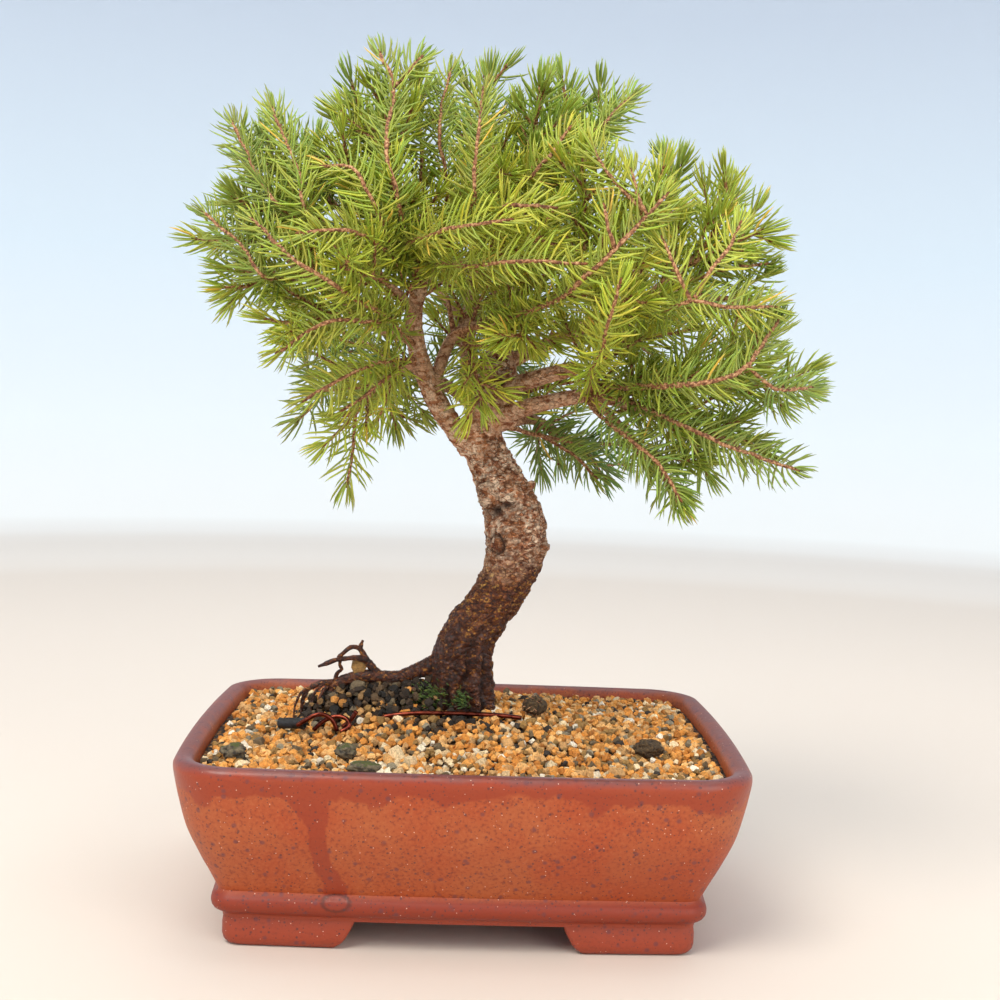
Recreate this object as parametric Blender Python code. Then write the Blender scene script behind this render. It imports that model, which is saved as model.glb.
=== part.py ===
"""Spruce bonsai in a rectangular stoneware pot.

Sizes are millimetres, and each finished mesh is scaled to metres once, in finish_node. While it
is drawn, the pot's centre is the origin, +X runs to the right, +Y to the back, and Z is 0 under
the feet. At the end one empty shifts everything, so that the middle of the part's outline on the
ground becomes the world's origin.
"""

import math
import random

import bmesh
import bpy
import numpy as np
from mathutils import Matrix, Quaternion, Vector
from mathutils.bvhtree import BVHTree

MM = 0.001
TOUCH_GAP = 0.3
SEED = 7
FINE_STEPS = 12

# Pot
POT_LENGTH = 190.0
POT_DEPTH = 152.0
RIM_HEIGHT = 62.0
RIM_CORNER = 21.0
LEAST_CORNER = 5.0
SIDE_BOW = 1.6
CORNER_STEPS = 4
SIDE_POINTS = 1
FOOT_HEIGHT = 10.0
FOOT_INSET = 16.5
FOOT_THICKNESS = 14.0
FLOOR_HEIGHT = 17.0
GAP_LIP = 0.4
GAP_HALF_LENGTH = (38.5, 33.0)
GAP_HALF_DEPTH = (27.0, 22.0)
DRAIN_RADIUS = 9.0
DRAIN_OFFSET = 40.0
# How far a cutter reaches past the faces that it goes through
CUT_SPARE = 1.0
SCREEN_SIDE = 26.0
SCREEN_THICKNESS = 1.2
SCREEN_CELLS = 5
# (inset from the rim's outline, height), from the floor's edge up the inside and down the outside
INSIDE_PROFILE = ((24.0, FLOOR_HEIGHT), (20.5, 21.0), (11.2, 39.0), (6.8, 59.0))
RIM_PROFILE = ((6.2, 61.2), (5.2, RIM_HEIGHT), (1.2, RIM_HEIGHT), (0.2, 61.2))
OUTSIDE_PROFILE = ((0.0, 59.5), (2.0, 48.5), (4.6, 39.0), (9.0, 30.0), (14.8, 20.0))
BELT_PROFILE = ((13.4, 17.4), (13.4, 12.6), (FOOT_INSET, FOOT_HEIGHT))

# Soil
SOIL_EDGE_HEIGHT = 58.5
MOUND_HEIGHT = 8.5
MOUND_SPREAD = 30.0
HUMUS_PLACE = (-37.0, 4.0)
HUMUS_HEIGHT = 8.5
HUMUS_SPREAD = 8.0
HUMUS_LONG = 0.7
SKIRT_DROP = 4.0
GRAIN_CELL = 7.5
GRAIN_RELIEF = 1.2
GRAIN_SHIFT = 1.3
ABOVE_SOIL = 90.0

# Trunk: (x, y, z, radius) up its middle
TRUNK_FOOT = (-1.0, 8.0)
TRUNK = (
    (-3, 8, 80, 11.2),
    (1, 8, 95, 10.0),
    (8, 8, 107, 9.4),
    (15, 8, 119, 10.2),
    (17, 8, 131, 10.9),
    (13, 8, 142, 10.6),
    (7, 8, 153, 8.2),
    (3, 8, 165, 7.6),
    (5, 9, 177, 7.4),
    (8, 10, 188, 7.0),
    (8, 12, 197, 4.6),
)
TRUNK_SIDES = 14
TRUNK_STEP = 5.0
STUMP_HEIGHTS = (48.0, 60.0, 69.0)
STUMP_RADIUS = 12.6
STUMP_LOBES = 3
STUMP_LOBE = 0.09
LOBE_TURN = 1.2
FOOT_FLARE = 1.2
FOOT_RISE = 20.0
BARK_RELIEF = 0.6
BARK_RIDGES = 5
BARK_PITCHES = (0.21, 0.33)
KNOT_PLACE = (9.0, -3.0, 126.5)
KNOT_SPREAD = 3.6
KNOT_RISE = 1.8

# Roots and dead rootlets over the soil: (x, y, z, radius) along each
ROOTS = (
    (
        (-5, 7, 81, 4.6),
        (-16, 5, 80.5, 3.4),
        (-27, 4, 78, 2.7),
        (-38, 3, 77, 2.3),
        (-45, 3, 75, 2.0),
        (-48, 3, 70, 1.6),
        (-48, 3, 63, 1.5),
        (-48, 3, 56, 1.4),
    ),
    ((-32, 4, 77, 0.9), (-35, 2, 83, 0.8), (-37.5, 1, 89, 0.7)),
    ((-36, 2, 85, 0.8), (-42, 0, 86, 0.8), (-48, -1, 84, 0.7), (-52, -2, 82, 0.6)),
    ((-40, 3, 76, 0.9), (-43, 5, 82, 0.8), (-44, 6, 86, 0.7), (-41, 5, 90, 0.6)),
)
ROOT_STEP = 7.0
ROOT_HOLE = (-48.0, 3.0)
ROOT_HOLE_RADIUS = 2.3
ROOT_HOLE_HEIGHTS = (54.0, 90.0)

# Boughs: points up the middle, then the first and the last radius
BOUGHS = {
    "riser": (
        ((-1, 7, 160), (-12, 2, 174), (-17, -2, 184), (-21, -6, 196), (-22, -8, 208), (-18, -8, 223)),
        (4.4, 2.7),
    ),
    "upright": (
        ((-20, -8, 219), (-25, -12, 234), (-29, -17, 249), (-32, -20, 261)),
        (2.1, 1.2),
    ),
    "left_top": (
        ((-22, -8, 220), (-33, -10, 225), (-43, -14, 231), (-56, -18, 234)),
        (1.8, 1.1),
    ),
    "front_right": (
        ((-19, -8, 221), (-8, -17, 224), (4, -27, 225)),
        (1.8, 1.1),
    ),
    "inner_right": (
        ((-24, -11, 230), (-12, -8, 235), (2, -14, 239)),
        (1.4, 1.0),
    ),
    "left_long": (
        ((-22, -7, 198), (-35, -12, 202), (-46, -16, 209), (-60, -20, 219), (-68, -16, 226)),
        (2.4, 1.2),
    ),
    "lower_left": (
        ((-19, -4, 189), (-28, 6, 190), (-44, 14, 188), (-52, 18, 185)),
        (1.9, 1.1),
    ),
    "under_left": (
        ((-22, -3, 190), (-33, -9, 183), (-41, -15, 172)),
        (1.7, 1.1),
    ),
    "leader": (
        ((3, 10, 168), (-2, 17, 186), (-3, 21, 206), (-1, 24, 228), (0, 23, 248), (0, 19, 262)),
        (3.6, 1.3),
    ),
    "cut_stub": (
        ((8, 5, 181), (21, -9, 186), (34, -18, 190)),
        (3.4, 2.8),
    ),
    "right_long": (
        ((5, 6, 171), (22, -6, 177), (39, -12, 181), (53, -17, 183), (68, -22, 185), (82, -25, 189)),
        (3.6, 1.4),
    ),
    "right_low": (
        ((41, -13, 181), (60, -25, 175), (76, -31, 169)),
        (1.9, 1.1),
    ),
    "hanging": (
        ((40, -12, 180), (52, -18, 169), (58, -21, 162)),
        (1.6, 1.1),
    ),
    "vertical": (
        ((40, -12, 181), (42, -23, 193), (43, -33, 203)),
        (1.6, 1.1),
    ),
    "long_rising": (
        ((-15, -1, 182), (-8, 1, 200), (7, -7, 206), (29, -23, 215), (42, -33, 228)),
        (2.4, 1.3),
    ),
    "back_low": (
        ((8, 12, 168), (22, 28, 171), (36, 42, 164)),
        (2.4, 1.3),
    ),
    "upper_right": (
        ((8, 11, 192), (11, 15, 216), (13, 16, 238), (18, 13, 254)),
        (3.0, 1.3),
    ),
    "right_mid": (
        ((9, 11, 190), (28, 14, 200), (48, 7, 210), (64, -2, 219)),
        (2.8, 1.6),
    ),
    "right_up": (
        ((62, -1, 218), (72, -6, 227), (80, -9, 236)),
        (1.5, 1.1),
    ),
    "right_out": (
        ((62, -1, 218), (75, -3, 217), (86, -4, 216)),
        (1.5, 1.1),
    ),
    "back_left": (
        ((2, 12, 174), (-13, 29, 184), (-29, 44, 191), (-42, 52, 197)),
        (2.6, 1.3),
    ),
    "back_up_left": (
        ((-3, 21, 204), (-14, 36, 217), (-22, 47, 230)),
        (2.2, 1.2),
    ),
    "back_up_right": (
        ((10, 15, 212), (19, 32, 222), (27, 48, 234)),
        (2.0, 1.2),
    ),
    "back_middle": (
        ((6, 12, 184), (7, 32, 196), (4, 52, 206)),
        (2.4, 1.3),
    ),
    "back_right": (
        ((30, 14, 201), (46, 30, 203), (62, 40, 206)),
        (2.0, 1.2),
    ),
    "top_back": (
        ((-1, 24, 232), (2, 34, 248), (3, 40, 258)),
        (1.6, 1.1),
    ),
    "front_left": (
        ((-22, -8, 206), (-25, -25, 211), (-30, -38, 215)),
        (1.9, 1.1),
    ),
}
BOUGH_STEP = 12.0
# Bare snapped twigs: (x, y, z) at the root and at the end
SNAGS = (((-3, 21, 207), (8, 13, 219)), ((-8, 2, 200), (-11, 5, 214)))
SNAG_RADII = (1.0, 0.8)

# Each spray: the bough that it leaves, how far along, and the place of its tip
SPRAYS = (
    ("left_long", 1.00, (-102, -4, 229)),
    ("left_long", 0.75, (-97, -20, 211)),
    ("left_top", 1.00, (-93, -24, 246)),
    ("left_top", 0.80, (-84, -4, 268)),
    ("left_top", 0.50, (-70, 14, 272)),
    ("upright", 0.35, (-58, -28, 264)),
    ("upright", 0.75, (-47, -4, 282)),
    ("upright", 1.00, (-35, -28, 290)),
    ("upright", 0.90, (-17, -10, 288)),
    ("leader", 1.00, (2, 14, 292)),
    ("upper_right", 0.85, (16, -16, 286)),
    ("upper_right", 1.00, (31, 14, 286)),
    ("upper_right", 0.70, (53, 6, 279)),
    ("right_mid", 0.75, (68, 14, 260)),
    ("right_up", 1.00, (87, -8, 266)),
    ("right_up", 0.50, (101, -25, 241)),
    ("right_out", 1.00, (113, -2, 219)),
    ("right_long", 1.00, (105, -46, 207)),
    ("right_long", 0.85, (120, -22, 186)),
    ("right_low", 1.00, (112, -38, 157)),
    ("right_low", 0.70, (88, -6, 153)),
    ("hanging", 1.00, (77, -32, 142)),
    ("back_low", 1.00, (58, 58, 147)),
    ("back_low", 0.55, (25, 48, 152)),
    ("under_left", 1.00, (-52, -24, 156)),
    ("lower_left", 0.45, (-27, 26, 163)),
    ("lower_left", 1.00, (-72, 32, 179)),
    ("long_rising", 0.25, (4, -18, 170)),
    ("vertical", 1.00, (48, -68, 213)),
    ("long_rising", 0.50, (14, -52, 196)),
    ("front_right", 1.00, (22, -64, 232)),
    ("inner_right", 1.00, (4, -48, 256)),
    ("front_left", 1.00, (-48, -70, 218)),
    ("left_long", 0.45, (-66, -48, 194)),
    ("long_rising", 1.00, (58, -58, 247)),
    ("right_long", 0.60, (74, -62, 190)),
    ("long_rising", 0.85, (30, -46, 264)),
    ("upright", 0.20, (-30, -58, 248)),
    ("back_left", 1.00, (-76, 62, 214)),
    ("back_left", 0.60, (-50, 66, 174)),
    ("back_up_left", 1.00, (-46, 66, 254)),
    ("back_up_right", 1.00, (44, 68, 256)),
    ("back_middle", 1.00, (-8, 88, 222)),
    ("back_middle", 0.60, (22, 78, 186)),
    ("back_right", 1.00, (92, 50, 222)),
    ("top_back", 1.00, (0, 58, 284)),
)
END_FOLLOW = 0.4
SIDE_FOLLOW = 0.15
SHOOT_LENGTH = 38.0
MOST_SHOOT = 0.85
TWIG_RADIUS = 1.0
TWIG_STEPS = 2
SHOOT_RADII = (0.95, 0.6)
FIRST_BAND = 0.95
FIRST_WHORL = 0.75
LEAST_WHORLS = 3
WHORL_WIDTH = 1.9
WHORL_SPACING = 5.8
WHORL_TURN = math.radians(60.0)
SIDE_SHOOTS = (0.25, 0.55)
SIDE_LENGTH = 17.0
SIDE_FIRST = 2.6
SIDE_ANGLE = math.radians(48.0)
SIDE_SPACING = 8.5
SIDE_TURN = math.radians(22.0)
SIDE_NECK = 0.75
SIDE_TAPER = 0.97
SIDE_RADIUS = 0.9
SIDE_ALONG = 0.4
SIDE_CLEAR = 3.0
NEEDLE_LENGTH = 12.5
NEEDLE_VARIES = (0.9, 1.06)
END_NEEDLE_LENGTH = 9.0
END_FACE = 0.9
NEEDLE_BASE = 1.1
NEEDLE_TIP = 0.1
NEEDLE_LEAN = (math.radians(28.0), math.radians(52.0))
NEEDLE_TURNS = (0.0, 0.3, -0.3, 0.55, -0.55)
NEEDLE_CLEAR = 0.3
WHORL_SHARE = 0.3

# Tie wire and its rubber sleeve
WIRE_RADIUS = 0.75
WIRE_STEP = 4.0
WIRE_BAR = ((-30, -8), (-22, -9), (-12, -10), (0, -9), (10, -7), (19, -5))
WIRE_TWIST = ((-56, -17), (-52, -15), (-49, -15.5), (-46, -18), (-44, -21))
SLEEVE_RADIUS = 2.0
SLEEVE = ((-66, -15), (-58.5, -17.5))

# How high above the soil's level loose things are drawn before they settle
DROP = 5.0

STONE_VARIES = (0.86, 1.08)
# Loose stones on the soil: name, x, y, half sizes, turn in degrees, and material
STONES = (
    ("root_clod", 25, 2, (4.6, 4.2, 3.9), 10, "clod"),
    ("wedge_pebble", -38, 18, (3.4, 3.0, 3.4), 25, "pebble"),
    ("dark_clump", 62, -33, (5.6, 4.6, 3.4), -15, "clod"),
    ("moss_stone_left", -75, -48, (5.6, 4.4, 3.0), 15, "stone"),
    ("moss_stone_front", -39, -47, (4.6, 3.8, 2.8), -20, "stone"),
    ("flat_stone", -32, -62, (6.0, 3.6, 2.2), 5, "stone"),
)

COLOURS = {
    "pot": ((0.36, 0.09, 0.045), 0.5),
    "soil": ((0.48, 0.24, 0.09), 0.95),
    "wood": ((0.19, 0.10, 0.065), 0.85),
    "needles": ((0.17, 0.30, 0.04), 0.55),
    "wire": ((0.20, 0.055, 0.03), 0.45),
    "rubber": ((0.012, 0.012, 0.013), 0.75),
    "screen": ((0.02, 0.03, 0.025), 0.6),
    "clod": ((0.10, 0.065, 0.03), 0.95),
    "pebble": ((0.42, 0.27, 0.12), 0.9),
    "stone": ((0.13, 0.12, 0.07), 0.9),
}


def clear_scene():
    for item in list(bpy.data.objects):
        bpy.data.objects.remove(item, do_unlink=True)


def new_collection(name):
    collection = bpy.data.collections.new(name)
    bpy.context.scene.collection.children.link(collection)
    return collection


def material(name):
    colour, roughness = COLOURS[name]
    made = bpy.data.materials.get(name) or bpy.data.materials.new(name)
    made.use_nodes = True
    shader = made.node_tree.nodes["Principled BSDF"]
    shader.inputs["Base Color"].default_value = (*colour, 1.0)
    shader.inputs["Roughness"].default_value = roughness
    shader.inputs["Metallic"].default_value = 1.0 if name == "wire" else 0.0
    return made


def object_from(bm, name, collection):
    mesh = bpy.data.meshes.new(name)
    bm.to_mesh(mesh)
    bm.free()
    item = bpy.data.objects.new(name, mesh)
    collection.objects.link(item)
    return item


def finish_node(item, finish, stand):
    """Scales a mesh drawn in millimetres to metres, and gives it its material and its parent."""
    item.data.transform(Matrix.Scale(MM, 4))
    item.data.materials.clear()
    item.data.materials.append(material(finish))
    item.parent = stand
    return item


def finish_cutter(item, stand):
    item.data.transform(Matrix.Scale(MM, 4))
    item.parent = stand
    item.hide_render = True
    item.display_type = "WIRE"
    return item


def cut(item, cutter, operation="DIFFERENCE"):
    modifier = item.modifiers.new(cutter.name, "BOOLEAN")
    modifier.operation = operation
    modifier.solver = "EXACT"
    modifier.object = cutter


def loft(rings):
    """A closed solid through rings that all have the same number of points."""
    bm = bmesh.new()
    loops = [[bm.verts.new(point) for point in ring] for ring in rings]
    count = len(loops[0])
    for low, high in zip(loops, loops[1:]):
        for i in range(count):
            j = (i + 1) % count
            bm.faces.new((low[i], low[j], high[j], high[i]))
    bm.faces.new(loops[0])
    bm.faces.new(loops[-1])
    bmesh.ops.recalc_face_normals(bm, faces=bm.faces)
    return bm


def between(a, b, c, d, share):
    """The place a share of the way from b to c, on the smooth curve through a, b, c and d."""
    bend = 2 * a - 5 * b + 4 * c - d
    twist = 3 * b - a - 3 * c + d
    return 0.5 * (2 * b + (c - a) * share + bend * share**2 + twist * share**3)


def smooth_path(points, step):
    """Evenly spaced places along a smooth curve through the points, with any radius blended too."""
    keys = np.array(points, float)
    keys = np.vstack([2 * keys[0] - keys[1], keys, 2 * keys[-1] - keys[-2]])
    fine = []
    for a, b, c, d in zip(keys, keys[1:], keys[2:], keys[3:]):
        for share in np.linspace(0, 1, FINE_STEPS, endpoint=False):
            fine.append(between(a, b, c, d, share))
    fine.append(keys[-2])
    fine = np.array(fine)
    along = np.concatenate([[0], np.cumsum(np.linalg.norm(np.diff(fine[:, :3], axis=0), axis=1))])
    stations = np.linspace(0, along[-1], max(2, round(along[-1] / step) + 1))
    return np.stack([np.interp(stations, along, fine[:, k]) for k in range(fine.shape[1])], axis=1)


def point_at(path, share):
    """The place and the direction a share of the way along a path of evenly spaced points."""
    place = share * (len(path) - 1)
    i = min(int(place), len(path) - 2)
    step = path[i + 1, :3] - path[i, :3]
    return path[i, :3] + step * (place - i), step / np.linalg.norm(step)


def tube(name, path, radii, sides_step, collection):
    """A capped tube mesh along the path, made by a bevelled curve whose radius follows radii."""
    curve = bpy.data.curves.new(name, "CURVE")
    curve.dimensions = "3D"
    curve.bevel_depth = 1.0
    curve.bevel_resolution = sides_step
    curve.use_fill_caps = True
    spline = curve.splines.new("POLY")
    spline.points.add(len(path) - 1)
    for point, place, radius in zip(spline.points, path, radii):
        point.co = (*place[:3], 1.0)
        point.radius = radius
    guide = bpy.data.objects.new(name + "_curve", curve)
    collection.objects.link(guide)
    graph = bpy.context.evaluated_depsgraph_get()
    mesh = bpy.data.meshes.new_from_object(guide.evaluated_get(graph))
    bpy.data.objects.remove(guide)
    bm = bmesh.new()
    bm.from_mesh(mesh)
    bmesh.ops.remove_doubles(bm, verts=bm.verts, dist=0.0001)
    bmesh.ops.recalc_face_normals(bm, faces=bm.faces)
    return object_from(bm, name, collection)


def join_all(item, collection):
    """One Boolean union of the item with all that the collection holds, applied. The collection goes."""
    modifier = item.modifiers.new("join", "BOOLEAN")
    modifier.operation = "UNION"
    modifier.operand_type = "COLLECTION"
    modifier.collection = collection
    modifier.solver = "EXACT"
    graph = bpy.context.evaluated_depsgraph_get()
    joined = bpy.data.meshes.new_from_object(item.evaluated_get(graph))
    item.modifiers.clear()
    item.data = joined
    for piece in list(collection.objects):
        bpy.data.objects.remove(piece, do_unlink=True)
    bpy.data.collections.remove(collection)
    return item


def pot_ring(inset, height, spare=0.0):
    """The pot's outline in plan at a given inset, as points with bowed sides and round corners."""
    corner = max(RIM_CORNER - inset, LEAST_CORNER)
    half_x = POT_LENGTH / 2 - inset - spare
    half_y = POT_DEPTH / 2 - inset - spare
    ring = []
    for quarter in range(4):
        sign_x = 1 if quarter in (0, 3) else -1
        sign_y = 1 if quarter in (0, 1) else -1
        for step in range(CORNER_STEPS + 1):
            angle = (quarter + step / CORNER_STEPS) * math.pi / 2
            x = sign_x * (half_x - SIDE_BOW - corner) + corner * math.cos(angle)
            y = sign_y * (half_y - SIDE_BOW - corner) + corner * math.sin(angle)
            ring.append((x, y))
        along_x = quarter in (0, 2)
        start = ring[-1]
        for point in range(1, SIDE_POINTS + 1):
            share = point / (SIDE_POINTS + 1)
            bow = SIDE_BOW * 4 * share * (1 - share)
            if along_x:
                ring.append((start[0] * (1 - 2 * share), start[1] + sign_y * bow))
            else:
                ring.append((start[0] + sign_x * bow, start[1] * (1 - 2 * share)))
    return [(x, y, height) for x, y in ring]


def gap_cutter(name, half_widths, reach, lengthwise, collection):
    """A block with slanted sides that opens the space between two feet, right through the pot."""
    bm = bmesh.new()
    bmesh.ops.create_cube(bm, size=1.0)
    for vert in bm.verts:
        low = vert.co.z < 0
        slope = (half_widths[0] - half_widths[1]) / FOOT_HEIGHT
        half = half_widths[0] + slope if low else half_widths[1]
        across = math.copysign(half, vert.co.x)
        through = math.copysign(reach, vert.co.y)
        height = -CUT_SPARE if low else FOOT_HEIGHT - GAP_LIP
        vert.co = (across, through, height) if lengthwise else (through, across, height)
    bmesh.ops.recalc_face_normals(bm, faces=bm.faces)
    return object_from(bm, name, collection)


def cylinder(name, place, radius, heights, sides, collection):
    bm = bmesh.new()
    low, high = heights
    middle = Matrix.Translation((place[0], place[1], (low + high) / 2))
    bmesh.ops.create_cone(
        bm, cap_ends=True, segments=sides, radius1=radius, radius2=radius, depth=high - low, matrix=middle
    )
    return object_from(bm, name, collection)


def make_pot(parts, cutters, stand):
    rings = INSIDE_PROFILE + RIM_PROFILE + OUTSIDE_PROFILE + BELT_PROFILE + ((FOOT_INSET, 0.0),)
    pot = object_from(loft([pot_ring(inset, height) for inset, height in rings]), "pot", parts)
    finish_node(pot, "pot", stand)
    recess_heights = (-CUT_SPARE, FOOT_HEIGHT - 2 * GAP_LIP)
    recess = loft([pot_ring(FOOT_INSET + FOOT_THICKNESS, height) for height in recess_heights])
    pot_cutters = [
        gap_cutter("gap_front", GAP_HALF_LENGTH, POT_DEPTH, True, cutters),
        gap_cutter("gap_side", GAP_HALF_DEPTH, POT_LENGTH, False, cutters),
        object_from(recess, "under_recess", cutters),
    ]
    for side in (-1, 1):
        place = (side * DRAIN_OFFSET, 0.0)
        name = "drain_left" if side < 0 else "drain_right"
        heights = (FOOT_HEIGHT - 2 * CUT_SPARE, FLOOR_HEIGHT + CUT_SPARE)
        pot_cutters.append(cylinder(name, place, DRAIN_RADIUS, heights, 20, cutters))
    for cutter in pot_cutters:
        cut(pot, finish_cutter(cutter, stand))
    return pot


def make_screens(parts, stand):
    """Two squares of plastic mesh over the drain holes, each a slab with open cells."""
    for side, name in ((-1, "screen_left"), (1, "screen_right")):
        bm = bmesh.new()
        bmesh.ops.create_grid(bm, x_segments=SCREEN_CELLS, y_segments=SCREEN_CELLS, size=SCREEN_SIDE / 2)
        cell = SCREEN_SIDE / SCREEN_CELLS
        holes = []
        for face in bm.faces:
            centre = face.calc_center_median()
            column = round(centre.x / cell + (SCREEN_CELLS - 1) / 2)
            row = round(centre.y / cell + (SCREEN_CELLS - 1) / 2)
            if column % 2 and row % 2:
                holes.append(face)
        bmesh.ops.delete(bm, geom=holes, context="FACES")
        slab = bmesh.ops.extrude_face_region(bm, geom=bm.faces[:])
        raised = [part for part in slab["geom"] if isinstance(part, bmesh.types.BMVert)]
        bmesh.ops.translate(bm, verts=raised, vec=(0, 0, SCREEN_THICKNESS))
        bmesh.ops.recalc_face_normals(bm, faces=bm.faces)
        middle = (side * DRAIN_OFFSET, 0.0, FLOOR_HEIGHT + TOUCH_GAP)
        bmesh.ops.translate(bm, verts=bm.verts, vec=middle)
        finish_node(object_from(bm, name, parts), "screen", stand)


def soil_height(x, y):
    """The soil's level at a place: a mound round the trunk and a heap of humus under the long root."""
    from_trunk = math.hypot(x - TRUNK_FOOT[0], y - TRUNK_FOOT[1])
    from_humus = math.hypot((x - HUMUS_PLACE[0]) * HUMUS_LONG, y - HUMUS_PLACE[1])
    mound = MOUND_HEIGHT * math.exp(-0.5 * (from_trunk / MOUND_SPREAD) ** 2)
    humus = HUMUS_HEIGHT * math.exp(-0.5 * (from_humus / HUMUS_SPREAD) ** 2)
    return SOIL_EDGE_HEIGHT + mound + humus


def stump_ring(height, spare=0.0):
    """The lobed outline of the trunk's foot, which the soil's hole follows."""
    ring = []
    for i in range(TRUNK_SIDES):
        angle = 2 * math.pi * i / TRUNK_SIDES
        radius = STUMP_RADIUS * (1 + STUMP_LOBE * math.cos(STUMP_LOBES * angle + LOBE_TURN)) + spare
        x = TRUNK_FOOT[0] + radius * math.cos(angle)
        y = TRUNK_FOOT[1] + radius * math.sin(angle)
        ring.append((x, y, height))
    return ring


class Ground:
    """The soil's top as it is drawn, with its grains, on which loose things come to rest."""

    def __init__(self, bm):
        self.tops = [vert.co.copy() for vert in bm.verts]
        self.tree = BVHTree.FromBMesh(bm)

    def settle(self, item):
        """Lowers an object drawn above the soil until it all but touches its highest grains."""
        bm = bmesh.new()
        bm.from_mesh(item.data)
        under = BVHTree.FromBMesh(bm)
        gaps = []
        for vert in bm.verts:
            below = self.tree.ray_cast(vert.co, (0, 0, -1))[0]
            gaps.append((vert.co - below).length)
        for top in self.tops:
            above = under.ray_cast(top, (0, 0, 1))[0]
            if above:
                gaps.append((above - top).length)
        bmesh.ops.translate(bm, verts=bm.verts, vec=(0, 0, TOUCH_GAP - min(gaps)))
        bm.to_mesh(item.data)
        bm.free()
        return item


def make_soil(parts, cutters, stand):
    draw = random.Random(SEED)
    across = round(POT_LENGTH / GRAIN_CELL)
    deep = round(POT_DEPTH / GRAIN_CELL)
    bm = bmesh.new()
    bmesh.ops.create_grid(bm, x_segments=across, y_segments=deep, size=1.0)
    for vert in bm.verts:
        x = vert.co.x * POT_LENGTH / 2 + draw.uniform(-GRAIN_SHIFT, GRAIN_SHIFT)
        y = vert.co.y * POT_DEPTH / 2 + draw.uniform(-GRAIN_SHIFT, GRAIN_SHIFT)
        vert.co = (x, y, soil_height(x, y) + draw.uniform(-GRAIN_RELIEF, GRAIN_RELIEF))
    bmesh.ops.triangulate(bm, faces=bm.faces)
    ground = Ground(bm)
    skirt = bmesh.ops.extrude_face_region(bm, geom=bm.faces[:])
    for part in skirt["geom"]:
        if isinstance(part, bmesh.types.BMVert):
            part.co.z = FLOOR_HEIGHT - SKIRT_DROP
    bmesh.ops.recalc_face_normals(bm, faces=bm.faces)
    soil = finish_node(object_from(bm, "soil", parts), "soil", stand)
    inside = [pot_ring(inset, height, TOUCH_GAP) for inset, height in INSIDE_PROFILE]
    floor = pot_ring(INSIDE_PROFILE[0][0], FLOOR_HEIGHT + TOUCH_GAP, TOUCH_GAP)
    top = pot_ring(INSIDE_PROFILE[-1][0], ABOVE_SOIL, TOUCH_GAP)
    mould = object_from(loft([floor, *inside[1:], top]), "soil_mould", cutters)
    hole = loft([stump_ring(height, TOUCH_GAP) for height in (STUMP_HEIGHTS[0] - TOUCH_GAP, ABOVE_SOIL)])
    cut(soil, finish_cutter(mould, stand), "INTERSECT")
    cut(soil, finish_cutter(object_from(hole, "trunk_hole", cutters), stand))
    root_hole = cylinder("root_hole", ROOT_HOLE, ROOT_HOLE_RADIUS, ROOT_HOLE_HEIGHTS, 8, cutters)
    cut(soil, finish_cutter(root_hole, stand))
    bed_side = SCREEN_SIDE + CUT_SPARE
    for side, name in ((-1, "bed_left"), (1, "bed_right")):
        bm = bmesh.new()
        bmesh.ops.create_cube(bm, size=1.0)
        bmesh.ops.scale(bm, verts=bm.verts, vec=(bed_side, bed_side, 2 * CUT_SPARE))
        lift = FLOOR_HEIGHT + 2 * TOUCH_GAP + SCREEN_THICKNESS - CUT_SPARE
        bmesh.ops.translate(bm, verts=bm.verts, vec=(side * DRAIN_OFFSET, 0.0, lift))
        cut(soil, finish_cutter(object_from(bm, name, cutters), stand))
    return ground


def trunk_rings():
    """Rings up the trunk: its plain stump in the soil, then bark ridges, the knot and the burl above."""
    rings = [stump_ring(height) for height in STUMP_HEIGHTS]
    path = smooth_path(TRUNK, TRUNK_STEP)
    for i, (x, y, z, radius) in enumerate(path):
        ahead = path[min(i + 1, len(path) - 1)] - path[max(i - 1, 0)]
        tilt = Vector((0, 0, 1)).rotation_difference(Vector(ahead[:3]))
        ring = []
        for k in range(TRUNK_SIDES):
            angle = 2 * math.pi * k / TRUNK_SIDES
            twist = math.cos(BARK_PITCHES[1] * z + 2 * angle)
            ridge = BARK_RELIEF * math.sin(BARK_RIDGES * angle + BARK_PITCHES[0] * z) * twist
            above_foot = max(0.0, 1 - (z - TRUNK[0][2]) / FOOT_RISE)
            flare = FOOT_FLARE * math.cos(STUMP_LOBES * angle + LOBE_TURN) * above_foot
            reach = radius + ridge + flare
            place = Vector((x, y, z)) + tilt @ Vector((math.cos(angle), math.sin(angle), 0)) * reach
            from_knot = (place - Vector(KNOT_PLACE)).length / KNOT_SPREAD
            outward = (place - Vector((x, y, z))).normalized()
            ring.append(place + outward * KNOT_RISE * math.exp(-(from_knot**2)))
        rings.append(ring)
    return rings


def bough_paths():
    return {name: smooth_path(points, BOUGH_STEP) for name, (points, _) in BOUGHS.items()}


def spray_path(bough, share, tip):
    """A curve that leaves the bough along its own direction and turns towards the tip."""
    start, along = point_at(bough, share)
    tip = np.array(tip, float)
    reach = np.linalg.norm(tip - start)
    toward = (tip - start) / reach
    follow = END_FOLLOW if share == 1 else SIDE_FOLLOW
    bend = start + (along * follow + toward * (1 - follow)) * reach / 2
    t = np.linspace(0, 1, 2 * FINE_STEPS)[:, None]
    curve = (1 - t) ** 2 * start + 2 * t * (1 - t) * bend + t**2 * tip
    return smooth_path(curve, 1.0)


def bare_share(path):
    """The share of a spray's path, a point for each millimetre, that is bare twig."""
    length = len(path) - 1
    return 1 - min(SHOOT_LENGTH, length * MOST_SHOOT) / length


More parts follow.
